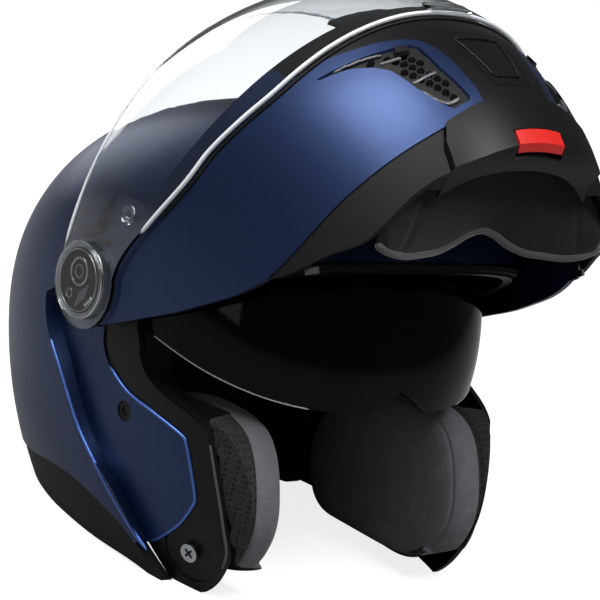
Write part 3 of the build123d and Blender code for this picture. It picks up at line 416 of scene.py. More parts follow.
def woven_webbing(name):
    """Polyester seat webbing: ribs across it every 1.6 mm and a finer twill along it. A wave's band
    repeats about 3.2 times per unit of its scale."""
    material, tree, shader, spot = surface(name, "161618", 0.7, Specular_IOR_Level=0.3, Sheen_Weight=0.1)
    rib = add(tree, "ShaderNodeTexWave", {
        "Vector": spot, "Scale": 1 / (1.6 * MM) / 3.2, "Distortion": 0.4}, bands_direction="Z")
    twill = add(tree, "ShaderNodeTexWave", {
        "Vector": spot, "Scale": 1 / (1.2 * MM) / 3.2}, bands_direction="Y")
    weave = add(tree, "ShaderNodeMath", {0: rib.outputs["Fac"], 1: twill.outputs["Fac"]},
                operation="MULTIPLY")
    tone = add(tree, "ShaderNodeMix", {
        "Factor": weave.outputs[0], "A": linear("0a0a0b"), "B": linear("2a2a2d")}, data_type="RGBA")
    bump = add(tree, "ShaderNodeBump", {
        "Height": weave.outputs[0], "Distance": 0.3 * MM, "Strength": 0.8})
    feed(tree, shader, Base_Color=tone.outputs["Result"], Normal=bump.outputs["Normal"])
    return material


def clear_plastic(name, tint="f6fafc", roughness=0.02):
    """Clear injection-moulded polycarbonate with a hard coat: colourless, with faint moulding ripple."""
    material, tree, shader, spot = surface(name, tint, roughness, IOR=1.49, Transmission_Weight=1.0)
    ripple = add(tree, "ShaderNodeTexNoise", {"Vector": spot, "Scale": 1 / (30 * MM), "Detail": 0.0})
    bump = add(tree, "ShaderNodeBump", {
        "Height": ripple.outputs["Fac"], "Distance": 0.15 * MM, "Strength": 0.2})
    feed(tree, shader, Normal=bump.outputs["Normal"])
    return material


def smoke_plastic(name):
    """Dark tinted polycarbonate: almost black, with a hard gloss and faint wiping haze."""
    material, tree, shader, spot = surface(name, "030304", 0.06, Specular_IOR_Level=0.1)
    haze = add(tree, "ShaderNodeTexNoise", {"Vector": spot, "Scale": 1 / (12 * MM), "Detail": 4.0})
    tone = add(tree, "ShaderNodeMapRange", {
        "Value": haze.outputs["Fac"], "To Min": 0.03, "To Max": 0.12})
    feed(tree, shader, Roughness=tone.outputs["Result"])
    return material


def polished_edge_painted_highlight(name, base="f2f6fa"):
    """Sawn and flame-polished edge of clear polycarbonate, drawn as a white line: its pale base colour is a
    painted highlight, standing in for the light that the edge gathers.
    """
    material, tree, shader, spot = surface(name, base, 0.15, Transmission_Weight=0.35, IOR=1.49)
    noise = add(tree, "ShaderNodeTexNoise", {"Vector": spot, "Scale": 1 / (6 * MM), "Detail": 2.0})
    tone = add(tree, "ShaderNodeMapRange", {
        "Value": noise.outputs["Fac"], "To Min": 0.08, "To Max": 0.25})
    feed(tree, shader, Roughness=tone.outputs["Result"])
    return material


def bright_metal(name):
    """Turned and polished stainless steel, with the fine lines of the last cut."""
    material, tree, shader, spot = surface(name, "a9acb0", 0.2, Metallic=1.0)
    line = add(tree, "ShaderNodeTexNoise", {"Vector": spot, "Scale": 1 / (0.4 * MM), "Detail": 3.0})
    tone = add(tree, "ShaderNodeMapRange", {
        "Value": line.outputs["Fac"], "To Min": 0.12, "To Max": 0.32})
    feed(tree, shader, Roughness=tone.outputs["Result"])
    return material


def shared(name, make, *values, **settings):
    """A material that several operators use, made once."""
    return bpy.data.materials.get(name) or make(name, *values, **settings)


def give(material, *names):
    """Puts a material on carried-over nodes."""
    for name in names:
        mesh = NODES[name].data
        mesh.materials.clear()
        mesh.materials.append(material)


def both(*names):
    """The right and the left node of each name."""
    return [name + "_" + side for name in names for side in ("right", "left")]


# What a user may change


def colour(name, description, code):
    """Colour property whose default is an sRGB hex code."""
    return bpy.props.FloatVectorProperty(
        name=name, description=description, subtype="COLOR", size=3, min=0, max=1, default=linear(code)[:3])


def length(name, description, value):
    """Length property whose default is in millimetres."""
    return bpy.props.FloatProperty(
        name=name, description=description, unit="LENGTH", min=0, default=value * MM)


class HelmetColours(bpy.types.PropertyGroup):
    """Colours of the helmet's finishes."""

    paint: colour("Shell paint", "Metallic lacquer of the shell and the chin bar", "1b2d52")
    cover: colour("Cheek cover", "Smooth cloth on the faces of the cheek pads", "6a686d")
    felt: colour("Felt edge", "Binding of the chin curtain", "4a4648")
    lever: colour("Release lever", "Moulded lever under the chin", "b0150f")
    floor: colour("Floor", "Studio floor", "8a8a8a")


class HelmetSizes(bpy.types.PropertyGroup):
    """Sizes of the soft and small pieces."""

    crown: length("Pad crown", "How far the middle of a cheek pad stands out from its edge", 16)
    seam: length("Seam depth", "Depth of the sewn channels", 1.4)
    felt: length("Felt width", "Width of the chin curtain's bound edge", 4.6)
    quilt: length("Quilt depth", "Rise of the crown pad between its channels", 4.5)


# Stage

FLOOR_REACH = 6.0
PHOTO_AZIMUTH = math.radians(-40)
PHOTO_DISTANCE = 1.5
PHOTO_LENS = 163.35
PHOTO_LOOK = (0, -25.6, -10.55)  # millimetres of the worn helmet


class HELMET_OT_stage(bpy.types.Operator):
    """Builds the floor, the soft lamps, the world and the camera."""

    bl_idname = "helmet.stage"
    bl_label = "Stage"

    def execute(self, context):
        ends = (-FLOOR_REACH, FLOOR_REACH)
        x, y = np.meshgrid(ends, ends, indexing="ij")
        floor = bpy.data.meshes.new("studio_floor")
        corners = np.stack([x, y, np.zeros_like(x)], axis=-1).reshape(-1, 3)
        floor.from_pydata(corners.tolist(), [], grid_faces(2, 2, False, False).tolist())
        ground = bpy.data.objects.new("studio_floor", floor)
        context.scene.collection.objects.link(ground)
        floor.materials.append(floor_paint(tuple(context.scene.helmet_colours.floor)))
        soft_lamp("key_softbox", (-1.1, 0.1, 2.3), 1.4, 78.0)
        soft_lamp("front_softbox", (0.25, -1.25, 2.2), 0.9, 48.0)
        soft_lamp("low_softbox", (-2.2, -0.9, 0.5), 0.6, 1.5)
        soft_lamp("rear_softbox", (0.2, 2.3, 0.8), 1.2, 8.0)
        pale_world(context.scene)
        photo_camera(context.scene)
        context.scene.view_settings.view_transform = "Standard"
        return {"FINISHED"}


def looked_at(tree):
    """One where the camera looks, straight or through clear plastic; and the light path's outputs."""
    path = add(tree, "ShaderNodeLightPath").outputs
    plain = add(tree, "ShaderNodeMath", {0: path["Glossy Depth"], 1: 0.5}, operation="LESS_THAN")
    through = add(tree, "ShaderNodeMath", {0: path["Is Transmission Ray"], 1: plain.outputs[0]},
                  operation="MULTIPLY")
    seen = add(tree, "ShaderNodeMath", {0: path["Is Camera Ray"], 1: through.outputs[0]},
               operation="MAXIMUM")
    return seen.outputs[0], path


def floor_paint(base):
    """Matt white emulsion on board: to the camera it glows, so that it ends in white and keeps a
    soft shadow; to reflections it is a mid grey."""
    material, tree, shader, spot = surface("studio_emulsion_white", base, 0.95, Specular_IOR_Level=0.0)
    glow = add(tree, "ShaderNodeMapRange", {"Value": looked_at(tree)[0], "To Min": 0.0, "To Max": 0.82})
    speck = add(tree, "ShaderNodeTexNoise", {"Vector": spot, "Scale": 1 / (4 * MM), "Detail": 2.0})
    tone = add(tree, "ShaderNodeMapRange", {"Value": speck.outputs["Fac"], "To Min": 0.9, "To Max": 1.0})
    shader.inputs["Emission Color"].default_value = (1, 1, 1, 1)
    feed(tree, shader, Roughness=tone.outputs["Result"], Emission_Strength=glow.outputs["Result"])
    return material


def soft_lamp(name, where, size, watts):
    """Square area lamp aimed at the helmet's middle."""
    lamp = bpy.data.lights.new(name, "AREA")
    lamp.size = size
    lamp.energy = watts
    thing = bpy.data.objects.new(name, lamp)
    bpy.context.scene.collection.objects.link(thing)
    aim = Matrix.Identity(3)
    back = np.array(where) - HINGE
    back /= np.linalg.norm(back)
    right = np.cross((0, 0, 1), back)
    right /= np.linalg.norm(right)
    aim.col[0], aim.col[1], aim.col[2] = right, np.cross(back, right), back
    thing.matrix_world = Matrix.Translation(where) @ aim.to_4x4()


def pale_world(scene):
    """White where the camera looks, dimmer as light on the object, dimmest in reflections."""
    world = bpy.data.worlds.new("pale_studio")
    scene.world = world
    world.use_nodes = True
    tree = world.node_tree
    tree.nodes.clear()
    seen, path = looked_at(tree)
    level = add(tree, "ShaderNodeMapRange", {"Value": seen, "To Min": 0.34, "To Max": 1.0})
    sheen = add(tree, "ShaderNodeMath", {
        0: path["Is Glossy Ray"], 1: -0.24, 2: level.outputs["Result"]}, operation="MULTIPLY_ADD")
    back = add(tree, "ShaderNodeBackground", {"Color": (1, 1, 1, 1), "Strength": sheen.outputs[0]})
    add(tree, "ShaderNodeOutputWorld", {"Surface": back.outputs[0]})


def photo_camera(scene):
    """Camera at the photograph's angle: its axes are given in the worn frame."""
    back = np.array((math.sin(PHOTO_AZIMUTH), -math.cos(PHOTO_AZIMUTH), 0))
    up = np.array((0, 0, 1.0))
    axes = tilt(np.stack([np.cross(up, back), up, back]), -PITCH)
    look = from_worn(np.array(PHOTO_LOOK))
    data = bpy.data.cameras.new("photo_camera")
    data.sensor_width = 36
    data.lens = PHOTO_LENS
    camera = bpy.data.objects.new("photo_camera", data)
    scene.collection.objects.link(camera)
    turn = Matrix(axes.tolist()).transposed().to_4x4()
    camera.matrix_world = Matrix.Translation(look + PHOTO_DISTANCE * axes[2]) @ turn
    scene.camera = camera


# Carried-over nodes


class HELMET_OT_finishes(bpy.types.Operator):
    """Puts each moulded and painted part's finish on it."""

    bl_idname = "helmet.finishes"
    bl_label = "Finishes"

    def execute(self, context):
        colours = context.scene.helmet_colours
        paint = shared("satin_metallic_lacquer_blue", metallic_paint, tuple(colours.paint))
        give(paint, "outer_shell", "chin_bar_shell", "rear_exhaust")
        satin = shared("moulded_abs_black_satin", moulded_black)
        give(satin, "chin_nose", "chin_lip", "centre_vent_flap", "brow_trim", "sun_visor_slider",
             "top_vent_slider", *both("jaw_trim", "vent_slider", "side_plug", "strap_buckle"))
        give(shared("moulded_abs_black_textured", moulded_black, "0a0a0b", 0.55, 1.1, 0.12),
             "rear_collar", *both("vent_grille", "chin_lower_trim"))
        give(shared("moulded_nylon_black", moulded_black, "070708", 0.35, 0.4, 0.02), *both("pivot_plate"))
        give(shared("moulded_rubber_black", moulded_black, "090909", 0.7, 0.8, 0.04, Specular_IOR_Level=0.25),
             "brow_seal", "breath_guard")
        give(shared("expanded_polystyrene_black", bead_foam), "chin_liner", "foam_liner")
        give(shared("polycarbonate_clear", clear_plastic), "visor", "visor_tab",
             *both("pinlock_pin", "pivot_cover"))
        give(shared("polycarbonate_smoke", smoke_plastic), "sun_visor")
        red = shared("moulded_abs_red", moulded_black, tuple(colours.lever), 0.38, 0.5, 0.02,
                     Specular_IOR_Level=0.4)
        give(red, "release_lever")
        give(shared("polished_stainless_steel", bright_metal), *both("striker", "latch_hook", "arm_plate"))
        return {"FINISHED"}


# Soft pieces


# Side view of a pad, and its places across the head
CHEEK_OUTLINE = ((-76, -74), (-86.5, -95), (-86.5, -130), (-68, -153), (-36, -155), (43, -130.5),
                 (43, -86), (10, -60), (-36, -60))
CHEEK_CENTRE = np.array((-33.0, -108.0))
CHEEK_FACE_X = 56.0  # middle of the pad's face, from the middle plane
CHEEK_BACK_X = 110.0
CHEEK_EDGE_X = 80.0  # the mesh border ends and the smooth cover starts here
CHEEK_POWER = 3.5


class HELMET_OT_cheek_pads(bpy.types.Operator):
    """Makes both cheek pads: a mesh border round a smooth crowned cover."""

    bl_idname = "helmet.cheek_pads"
    bl_label = "Cheek pads"

    def execute(self, context):
        sizes = context.scene.helmet_sizes
        cover = knitted_cloth(
            "brushed_polyester_charcoal", tuple(context.scene.helmet_colours.cover), "3a373d")
        mesh = shared("spacer_mesh_black", spacer_mesh)
        for word, side in SIDES:
            points, edge = cheek_pad(side, sizes.crown / MM, sizes.seam / MM)
            pick = np.repeat((np.arange(len(points) - 1) >= edge)[:, None], points.shape[1], axis=1)
            pad = piece("cheek_cushion_" + word, points, "shell", (mesh, cover), pick)
            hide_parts("cheek_pad_" + word)
        return {"FINISHED"}


def cheek_pad(side, crown, seam):
    """Closed pad. Rows go from the middle of its back, over its border, to the middle of its face.
    Each row is the rounded outline times a size; the face's size and depth follow a superellipse of
    power 3.5, and its seams are narrow bell-shaped dips. It ends at the shell's lining and at the table."""
    outline = rounded(CHEEK_OUTLINE, 20, 220) - CHEEK_CENTRE
    bend = np.linspace(0, math.pi / 2, 46)
    rim_x = CHEEK_FACE_X + crown
    size = np.concatenate([
        np.linspace(0, 0.955, 8), np.linspace(0.965, 1.0, 5), np.ones(22),
        np.cos(bend[1:]) ** (2 / CHEEK_POWER)])
    across = np.concatenate([
        np.full(8, CHEEK_BACK_X), np.linspace(CHEEK_BACK_X - 1, CHEEK_BACK_X - 6, 5),
        np.linspace(CHEEK_BACK_X - 8, rim_x, 22), rim_x - crown * np.sin(bend[1:]) ** (2 / CHEEK_POWER)])
    dip = seam * 1.3 * np.exp(-((across - CHEEK_EDGE_X) / 1.6) ** 2)
    dip_in = (across < rim_x) * seam * 0.5 * np.exp(-((size - 0.93) / 0.012) ** 2)
    reach = np.linalg.norm(outline, axis=1).mean()
    size = size - dip / reach
    y, z = np.moveaxis(CHEEK_CENTRE + size[:, None, None] * outline[None], -1, 0)
    x = np.broadcast_to((across + dip_in)[:, None], y.shape)
    inset = LINING_INSET - (LINING_INSET - CARRIER_INSET) * smooth_step(-y, 62, 70)
    x = np.minimum(x, SHELL.across(y, z, inset))
    points = from_worn(np.stack([side * x, y, z], axis=-1))
    points[..., 2] = np.maximum(points[..., 2], ABOVE_TABLE)
    return points, int(np.argmax(across < CHEEK_EDGE_X))


class HELMET_OT_crown_pad(bpy.types.Operator):
    """Makes the quilted crown pad under the top of the liner."""

    bl_idname = "helmet.crown_pad"
    bl_label = "Crown pad"

    def execute(self, context):
        lining = shared("lining_knit_black", lining_knit)
        bowl = crown_pad(context.scene.helmet_sizes.quilt / MM)
        pad = piece("crown_cushion", bowl, "shell", (lining,), loop_rows=True, loop_columns=False)
        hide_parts("crown_pad")
        return {"FINISHED"}


def crown_pad(quilt):
    """Closed bowl between two insets of the shell form. For each turn across, its front and back
    ends are where the inner skin is 11 mm above the hinge axis. The quilting is one minus two
    families of bell-shaped channels: two along the head and one every 26 degrees across it."""
    turns = np.linspace(-1, 1, 121)
    turns = np.radians(81.5) * np.sign(turns) * (1 - (1 - np.abs(turns)) ** 1.3)
    angle = np.linspace(0, math.pi, 721)
    height = SHELL.radius(angle, CROWN_INSET) * np.cos(turns[:, None]) ** (2 / SHELL.power) * np.sin(angle)
    above = height > 11.0
    start = angle[above.argmax(1)]
    end = angle[len(angle) - 1 - above[:, ::-1].argmax(1)]
    v = np.linspace(0, 1, 121)
    angle = start[None] + (end - start)[None] * v[:, None]
    turn = np.broadcast_to(turns[None], angle.shape)
    x = SHELL.point(angle, turn, CROWN_INSET)[..., 0]
    channel = np.exp(-((np.abs(x) - 27) / 3.0) ** 2)
    cross = (angle / math.radians(26) + 0.5) % 1 - 0.5
    channel = np.maximum(channel, 0.8 * np.exp(-(cross / 0.07) ** 2))
    rim = np.minimum(smooth_step(v, 0, 0.06), smooth_step(1 - v, 0, 0.06))[:, None]
    inner = SHELL.point(angle, turn, 37.4 + quilt * (1 - channel) * (0.25 + 0.75 * rim))
    outer = SHELL.point(angle, turn, LINING_INSET)
    return from_worn(np.concatenate([inner, outer[::-1]]))


# Side view of the roll's lower and upper line
NECK_LOW = ((48, -116), (100, -101), (140, -89), (181, -64))
NECK_TOP = ((48, -103), (110, -82), (172, -47), (178, -42))


class HELMET_OT_neck_roll(bpy.types.Operator):
    """Makes the padded roll round the back of the neck."""

    bl_idname = "helmet.neck_roll"
    bl_label = "Neck roll"

    def execute(self, context):
        lining = shared("lining_knit_black", lining_knit)
        roll = piece("neck_cushion", neck_roll(), "shell", (lining,))
        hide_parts("neck_roll")
        return {"FINISHED"}


def neck_roll():
    """Rounded section carried round the back: its height runs between two side-view lines and its
    depth between two insets of the shell form, both as a superellipse of power 3; it narrows to
    nothing over the last few turns at each end, with a gathered crease every 12 degrees."""
    count = 133
    turns = np.radians(np.linspace(-66, 66, count))
    low, top = (SHELL.over(line, 18, turns) for line in (NECK_LOW, NECK_TOP))
    bottom, head = (np.unwrap(np.arctan2(p[:, 2], -p[:, 1]) % (2 * math.pi)) for p in (low, top))
    profile = oval(2, 2, 40, 3)
    near = np.minimum(np.arange(count), np.arange(count)[::-1])
    size = np.sqrt(1 - (1 - np.clip(near / 8, 0, 1)) ** 2)
    size = size * (1 - 0.06 * np.exp(-(((np.degrees(turns) / 12 + 0.5) % 1 - 0.5) / 0.06) ** 2))
    middle, half = (bottom + head) / 2, np.abs(bottom - head) / 2
    angle = middle[:, None] + half[:, None] * size[:, None] * profile[None, :, 0]
    inset = 18.6 + 9.4 * size[:, None] * profile[None, :, 1]
    points = from_worn(SHELL.point(angle, np.broadcast_to(turns[:, None], angle.shape), inset))
    points[..., 2] = np.maximum(points[..., 2], ABOVE_TABLE)
    return points


# Closed chin bar: X, Y, Z of half the curtain's bound edge, and of half the line where it is fixed
FELT_EDGE = ((0, -68.5, -157.5), (10, -66.0, -157.5), (20, -61.0, -158), (31, -57.5, -159.5),
             (43, -56.5, -162), (56, -56.0, -164.5), (68, -58.0, -166.5), (79, -62.0, -167.2))
CURTAIN_ROOT = ((0, -113, -167.4), (40, -104.5, -167.4), (65, -87, -167.4), (79, -68, -167.4))


class HELMET_OT_chin_curtain(bpy.types.Operator):
    """Makes the padded chin curtain and its felt binding."""

    bl_idname = "helmet.chin_curtain"
    bl_label = "Chin curtain"

    def execute(self, context):
        cloth = shared("lining_knit_black", lining_knit)
        curtain = piece(
            "chin_curtain_cushion", chin_curtain(), "chin_bar", (cloth,), loop_rows=True, loop_columns=False)
        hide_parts("chin_curtain")
        felt = knitted_cloth(
            "wool_felt_grey", tuple(context.scene.helmet_colours.felt), "353133", 0.5, 0.2, 0.4)
        path = even(from_closed(flowing(mirrored(FELT_EDGE), 200)), 160)
        width = context.scene.helmet_sizes.felt
        down = tilt(np.array((0, 0, -1.0)), -PITCH - OPEN)
        rows = carried(path, down, oval(width, width * 0.9, 16, 2.4), taper=4)
        binding = piece("curtain_felt_binding", rows, "chin_bar", (felt,))
        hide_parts("curtain_piping")
        return {"FINISHED"}


def chin_curtain():
    """Closed cushion: rows go from the fixed line to the bound edge, straight in plan and swelling
    downwards by a half sine, then back along the upper face; one shallow fold crosses it near each end."""
    root = flowing(mirrored(CURTAIN_ROOT), 121)
    edge = flowing(mirrored(FELT_EDGE), 121)
    u = np.linspace(0, 1, 26)[:, None, None]
    plan = root[None] * (1 - u) + edge[None] * u
    swell = np.sin(math.pi * u[..., 0]) ** 0.7
    across = plan[..., 0]
    crease = 0.25 * np.exp(-((np.abs(across) - 52 - 10 * u[..., 0]) / 2.5) ** 2)
    end = smooth_step(1 - np.abs(np.linspace(-1, 1, 121)), 0, 0.08)[None]
    under, over = plan.copy(), plan.copy()
    under[..., 2] -= 0.9 * end + 2.4 * swell * (1 - crease) * end
    over[..., 2] += 0.9 * end
    return from_closed(np.concatenate([under, over[::-1]]))


class HELMET_OT_straps(bpy.types.Operator):
    """Makes the two chin strap ends of woven webbing."""

    bl_idname = "helmet.straps"
    bl_label = "Chin straps"

    def execute(self, context):
        webbing = woven_webbing("woven_polyester_webbing_black")
        width = 24.0
        line = flowing(((65, -117.6), (65, -82), (67.4, -73), (85, -55), (88, -52)), 60)
        for word, side in SIDES:
            middle = np.stack([side * line[:, 0], np.full(60, 46.0 + width / 2), line[:, 1]], axis=-1)
            limit = SHELL.across(middle[:, 1] + width / 2, middle[:, 2], 36.0)
            middle[:, 0] = side * np.minimum(np.abs(middle[:, 0]), limit)
            rows = carried(middle, (0, 1.0, 0), oval(1.7, width - 0.6, 28, 8), taper=2)
            strap = piece("chin_webbing_" + word, from_worn(rows), "shell", (webbing,))
            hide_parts("chin_strap_" + word)
        return {"FINISHED"}


# Small pieces


# The ratchet's level from the middle plane, and its rings: name, Y, Z, radius, width, material
RATCHET_X = 130.2
RINGS = (("cam", -1, 4.6, 7.2, 1.9, "bright"), ("inner", -1, 4.6, 3.4, 1.0, "grey"),
         ("outer", 0, 0, 16.4, 0.9, "bright"), ("click", 8.0, -6.5, 2.4, 0.8, "bright"))


class HELMET_OT_pivots(bpy.types.Operator):
    """Makes the ratchet under each clear pivot cover, and the bright rims round it."""

    bl_idname = "helmet.pivots"
    bl_label = "Pivot ratchets"

    def execute(self, context):
        dark = shared("moulded_nylon_black", moulded_black)
        stuff = {"bright": shared("polished_stainless_steel", bright_metal),
                 "grey": shared("moulded_nylon_grey", moulded_grey, "55575c", 0.35)}
        pale = shared("polycarbonate_edge", clear_plastic, "ffffff", 0.12)
        for word, side in SIDES:
            out = (side, 0, 0)
            disc = dish(side, 129.35, 17.6, 0.3)
            piece("pivot_dish_" + word, disc, "shell", (dark,))
            for name, y, z, radius, thick, kind in RINGS:
                loop = circle(side, y, z, RATCHET_X, radius)
                ring = from_worn(carried(loop, out, oval(thick, 1.2, 12, 3), closed=True))
                piece("pivot_%s_ring_%s" % (name, word), ring, "shell", (stuff[kind],), loop_rows=True)
            rim = carried(circle(side, 0, 0, 131.3, 20.2), out, oval(1.6, 1.0, 12), closed=True)
            piece("pivot_cover_rim_" + word, from_worn(rim), "shell", (pale,), loop_rows=True)
            reach = np.linspace(-1, 1, 9)[:, None]
            for number in range(5):
                start = np.array((side * RATCHET_X, -6.6 + 1.9 * number, -6.6 - 0.9 * number))
                rib = carried(start + reach * np.array((0, -2.2, 3.8)), out, oval(0.9, 1.0, 8, 4))
                piece("pivot_rib_%d_%s" % (number, word), from_worn(rib), "shell", (stuff["grey"],))
            start = np.array((side * (RATCHET_X + 0.2), -8.6, -11.6))
            tab = carried(start + reach * np.array((0, 3.8, -2.2)), out, oval(2.6, 1.3, 12, 4))
            piece("pivot_lock_tab_" + word, from_worn(tab), "shell", (stuff["bright"],))
        return {"FINISHED"}


def on_side(side, y, z, inset):
    """Places of the shell's form, at one side, from their side view."""
    return np.stack([side * SHELL.across(y, z, inset), y, z], axis=-1)


def circle(side, y, z, x, radius, count=72):
    """Circle about an axis across the helmet."""
    t = np.linspace(0, 2 * math.pi, count, endpoint=False)
    return np.stack([np.full(count, side * x), y + radius * np.cos(t), z + radius * np.sin(t)], axis=-1)


def dish(side, x, radius, height):
    """Flat disc with a rounded edge: rows run out along its outer face and back along its inner one."""
    share = np.array((0, 0.5, 0.96, 1.0, 0.96, 0.5, 0.0))
    lift = np.array((1, 1, 1, 0.5, 0, 0, 0)) * height
    return from_worn(np.stack([
        circle(side, 0, 0, x + rise, radius * part) for part, rise in zip(share, lift)]))


# Side views: the visors' edges, the panel's edge and the swage
VISOR_LOW = ((10, -24.5), (-8, -25.5), (-19, -29), (-39, -42.3), (-66.5, -60.3), (-85.4, -68.5),
             (-105, -79.5), (-120, -87.8), (-136, -93.6), (-148, -97.5), (-166.5, -103.9), (-180, -109))
VISOR_TOP = ((-8, 24.5), (-24, 22), (-66, 19), (-142, 15), (-160, 13.5))
SUN_LOW = ((3, -11), (-30, -27), (-62, -48), (-85, -62), (-105, -72))
PANEL_EDGE = ((-6, -45), (-20, -58.5), (-40, -69.5), (-56.5, -80), (-59.3, -85), (-60.4, -98),
              (-60.2, -112), (-57.4, -117.5), (-45.9, -127.4), (-29, -135.5), (-19, -138.4))
SWAGE = ((39, -31), (30.5, -47), (24, -62), (16.5, -79), (6, -95.5), (-6, -114), (-17, -130.5),
         (-26, -142.5))
VISOR_INSET = -2.6  # the visor stands proud of the chin bar's form


class HELMET_OT_visor_edges(bpy.types.Operator):
    """Makes the polished edges of the visor and of the sun visor, pale as a painted highlight, and the dark
    gasket below the visor, whose dark band is partly painted shade under the visor's edge.
    """

    bl_idname = "helmet.visor_edges"
    bl_label = "Visor edges"

    def execute(self, context):
        # pale beads along the clear visor's edges: a painted highlight
        pale = polished_edge_painted_highlight("polycarbonate_edge_painted_highlight")
        rubber = shared("moulded_rubber_black", moulded_black)
        turns = np.radians(np.linspace(-78, 78, 240))
        for name, line, size in (("visor_lower_edge", VISOR_LOW, 2.0), ("visor_upper_edge", VISOR_TOP, 2.8)):
            path = CHIN.over(line, VISOR_INSET, turns)
            rows = carried(path, path, oval(size, 2.6, 12, 3), taper=3)
            piece(name, from_closed(rows), "visor", (pale,))
        # black rubber bead just below the visor's lower edge: a gasket, and partly painted shade under that
        # edge
        lower = [(y, z - 2.6) for y, z in VISOR_LOW]
        path = CHIN.over(lower, -0.5, np.radians(np.linspace(-74, 74, 240)))
        rows = carried(path, path, oval(1.5, 1.4, 10, 3), taper=3)
        piece("visor_gasket_and_painted_shade", from_closed(rows), "chin_bar", (rubber,))
        # light grey beads along the dark sun visor's edges: a painted highlight
        smoke = polished_edge_painted_highlight("polycarbonate_edge_smoke_painted_highlight", "c9ced4")
        for word, side in SIDES:
            path = SUN.over(SUN_LOW, 1.0, np.radians(np.linspace(24, 74, 90)) * side)
            rows = carried(path, path, oval(1.2, 2.3, 10, 3), taper=4)
            piece("sun_visor_edge_" + word, from_worn(rows), "sun_visor", (smoke,))
        return {"FINISHED"}


class HELMET_OT_panel_edges(bpy.types.Operator):
    """Makes the rounded paint edges of the recessed side panels and of the swage beside them, in a lighter
    blue than the shell: a painted highlight along each edge.
    """

    bl_idname = "helmet.panel_edges"
    bl_label = "Panel edges"

    def execute(self, context):
        # the lighter blue lacquer of these beads is a painted highlight along the panel and swage edges
        paint = shared("satin_metallic_lacquer_painted_highlight", metallic_paint, linear("4668b0")[:3])
        for word, side in SIDES:
            for name, line, inset, size in (
                    ("panel_edge_", PANEL_EDGE, 8.5, 1.7), ("swage_edge_", SWAGE, 0.7, 2.2)):
                y, z = flowing(line, 120).T
                path = on_side(side, y, z, inset)
                rows = carried(path, path * np.array((1.0, 0.2, 0.2)), oval(size, size, 10), taper=6)
                piece(name + word, from_worn(rows), "shell", (paint,))
        return {"FINISHED"}


# Front views, X and Z. A vent's bars: name, line, inset, width, height
VENT_BARS = (("rib_0", ((47, -126.7), (57, -122.5)), 1.6, 2.0, 2.0),
             ("rib_1", ((37, -143.5), (51, -142)), 1.6, 2.0, 2.0),
             ("rail", ((34, -160.5), (40.5, -160.0), (44.5, -156.5), (50, -147)), 1.2, 2.4, 2.2),
             ("rod", ((54, -119.5), (74, -107.5)), 0.6, 1.7, 1.7))
FLAP_LINES = (("low", ((-9, -155.5), (9, -155.5))), ("top", ((-15.5, -128), (15.5, -128))),
              ("right", ((-9, -155.5), (-15.5, -128))), ("left", ((9, -155.5), (15.5, -128))))


class HELMET_OT_vents(bpy.types.Operator):
    """Makes the ribs and rails of the two chin vents, and the outline on the centre flap."""

    bl_idname = "helmet.vents"
    bl_label = "Chin vents"

    def execute(self, context):
        satin = shared("moulded_abs_black_satin", moulded_black)
        grey = shared("moulded_abs_grey_satin", moulded_grey, "3a3c40", 0.3)
        for word, side in SIDES:
            for name, line, inset, width, height in VENT_BARS:
                x, z = flowing(line, 30).T
                path = CHIN.facing(side * x, z, inset)
                rows = carried(path, path, oval(width, height, 12, 3.5), taper=3)
                piece("vent_%s_%s" % (name, word), from_closed(rows), "chin_bar", (grey,))
        for name, line in FLAP_LINES:
            path = CHIN.facing(*flowing(line, 24).T, -0.3)
            rows = carried(path, path, oval(1.3, 1.3, 10), taper=3)
            piece("flap_panel_" + name, from_closed(rows), "centre_vent", (satin,))
        return {"FINISHED"}


# Side views
STRIKER = np.array((-48.0, -142.3))
JAW_EDGE = ((-72.4, -85), (-73.0, -95), (-73.3, -115), (-72.0, -131), (-70.2, -142), (-64.8, -150.4))


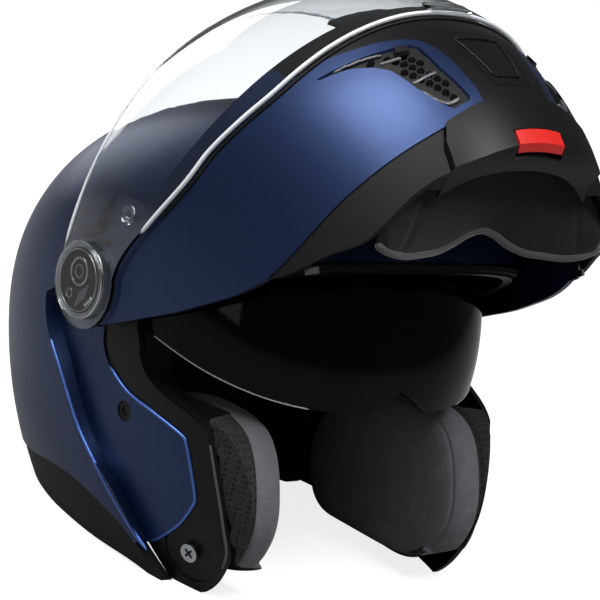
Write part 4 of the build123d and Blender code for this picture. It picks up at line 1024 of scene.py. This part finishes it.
class HELMET_OT_latch_details(bpy.types.Operator):
    """Makes the driver slots of the striker pins and the bright line along each jaw trim; the line is a grey
    bead on the black trim, a painted highlight along its front edge.
    """

    bl_idname = "helmet.latch_details"
    bl_label = "Latch details"

    def execute(self, context):
        dark = shared("moulded_nylon_black", moulded_black)
        grey = shared("moulded_abs_grey_satin", moulded_grey, "3a3c40", 0.3)
        near = np.array((STRIKER, STRIKER + (1, 0), STRIKER + (0, 1)))
        jaw = flowing(JAW_EDGE, 90)
        reach = np.linspace(-3.4, 3.4, 12)[:, None]
        for word, side in SIDES:
            spots = on_side(side, near[:, 0], near[:, 1], 9.0)
            normal = np.cross(spots[1] - spots[0], spots[2] - spots[0])
            normal *= side * np.sign(normal[0]) / np.linalg.norm(normal)
            along = np.cross(normal, (1.0, 0, 0))
            along /= np.linalg.norm(along)
            for number, way in enumerate((along, np.cross(normal, along))):
                slot = carried(spots[0] + 1.75 * normal + reach * way, normal, oval(1.5, 0.5, 10, 4), taper=2)
                piece("striker_slot_%d_%s" % (number, word), from_worn(slot), "shell", (dark,))
            # grey bead along the black jaw trim's front edge: a painted highlight
            path = on_side(side, jaw[:, 0], jaw[:, 1], 9.3)
            rows = carried(path, path * np.array((1.0, 0.3, 0.3)), oval(1.5, 1.5, 10), taper=4)
            piece("jaw_edge_painted_highlight_" + word, from_worn(rows), "shell", (grey,))
        return {"FINISHED"}


# Add-on


class HELMET_PT_panel(bpy.types.Panel):
    """Lists the steps that dress the helmet."""

    bl_label = "Helmet"
    bl_idname = "HELMET_PT_panel"
    bl_space_type = "VIEW_3D"
    bl_region_type = "UI"
    bl_category = "Helmet"

    def draw(self, context):
        for step in STEPS:
            self.layout.operator(step.bl_idname)
        for group in (context.scene.helmet_colours, context.scene.helmet_sizes):
            for key in group.__annotations__:
                self.layout.prop(group, key)


STEPS = (HELMET_OT_stage, HELMET_OT_finishes, HELMET_OT_cheek_pads, HELMET_OT_crown_pad,
         HELMET_OT_neck_roll, HELMET_OT_chin_curtain, HELMET_OT_straps, HELMET_OT_pivots,
         HELMET_OT_visor_edges, HELMET_OT_panel_edges, HELMET_OT_vents, HELMET_OT_latch_details)
CLASSES = (HelmetColours, HelmetSizes) + STEPS + (HELMET_PT_panel,)


def register():
    """Registers the classes and the two groups of settings."""
    for cls in CLASSES:
        bpy.utils.register_class(cls)
    bpy.types.Scene.helmet_colours = bpy.props.PointerProperty(type=HelmetColours)
    bpy.types.Scene.helmet_sizes = bpy.props.PointerProperty(type=HelmetSizes)


def unregister():
    """Undoes register."""
    del bpy.types.Scene.helmet_sizes
    del bpy.types.Scene.helmet_colours
    for cls in reversed(CLASSES):
        bpy.utils.unregister_class(cls)


def main():
    """Runs every step."""
    register()
    for step in STEPS:
        group, name = step.bl_idname.split(".")
        getattr(getattr(bpy.ops, group), name)()


if __name__ == "__main__":
    main()
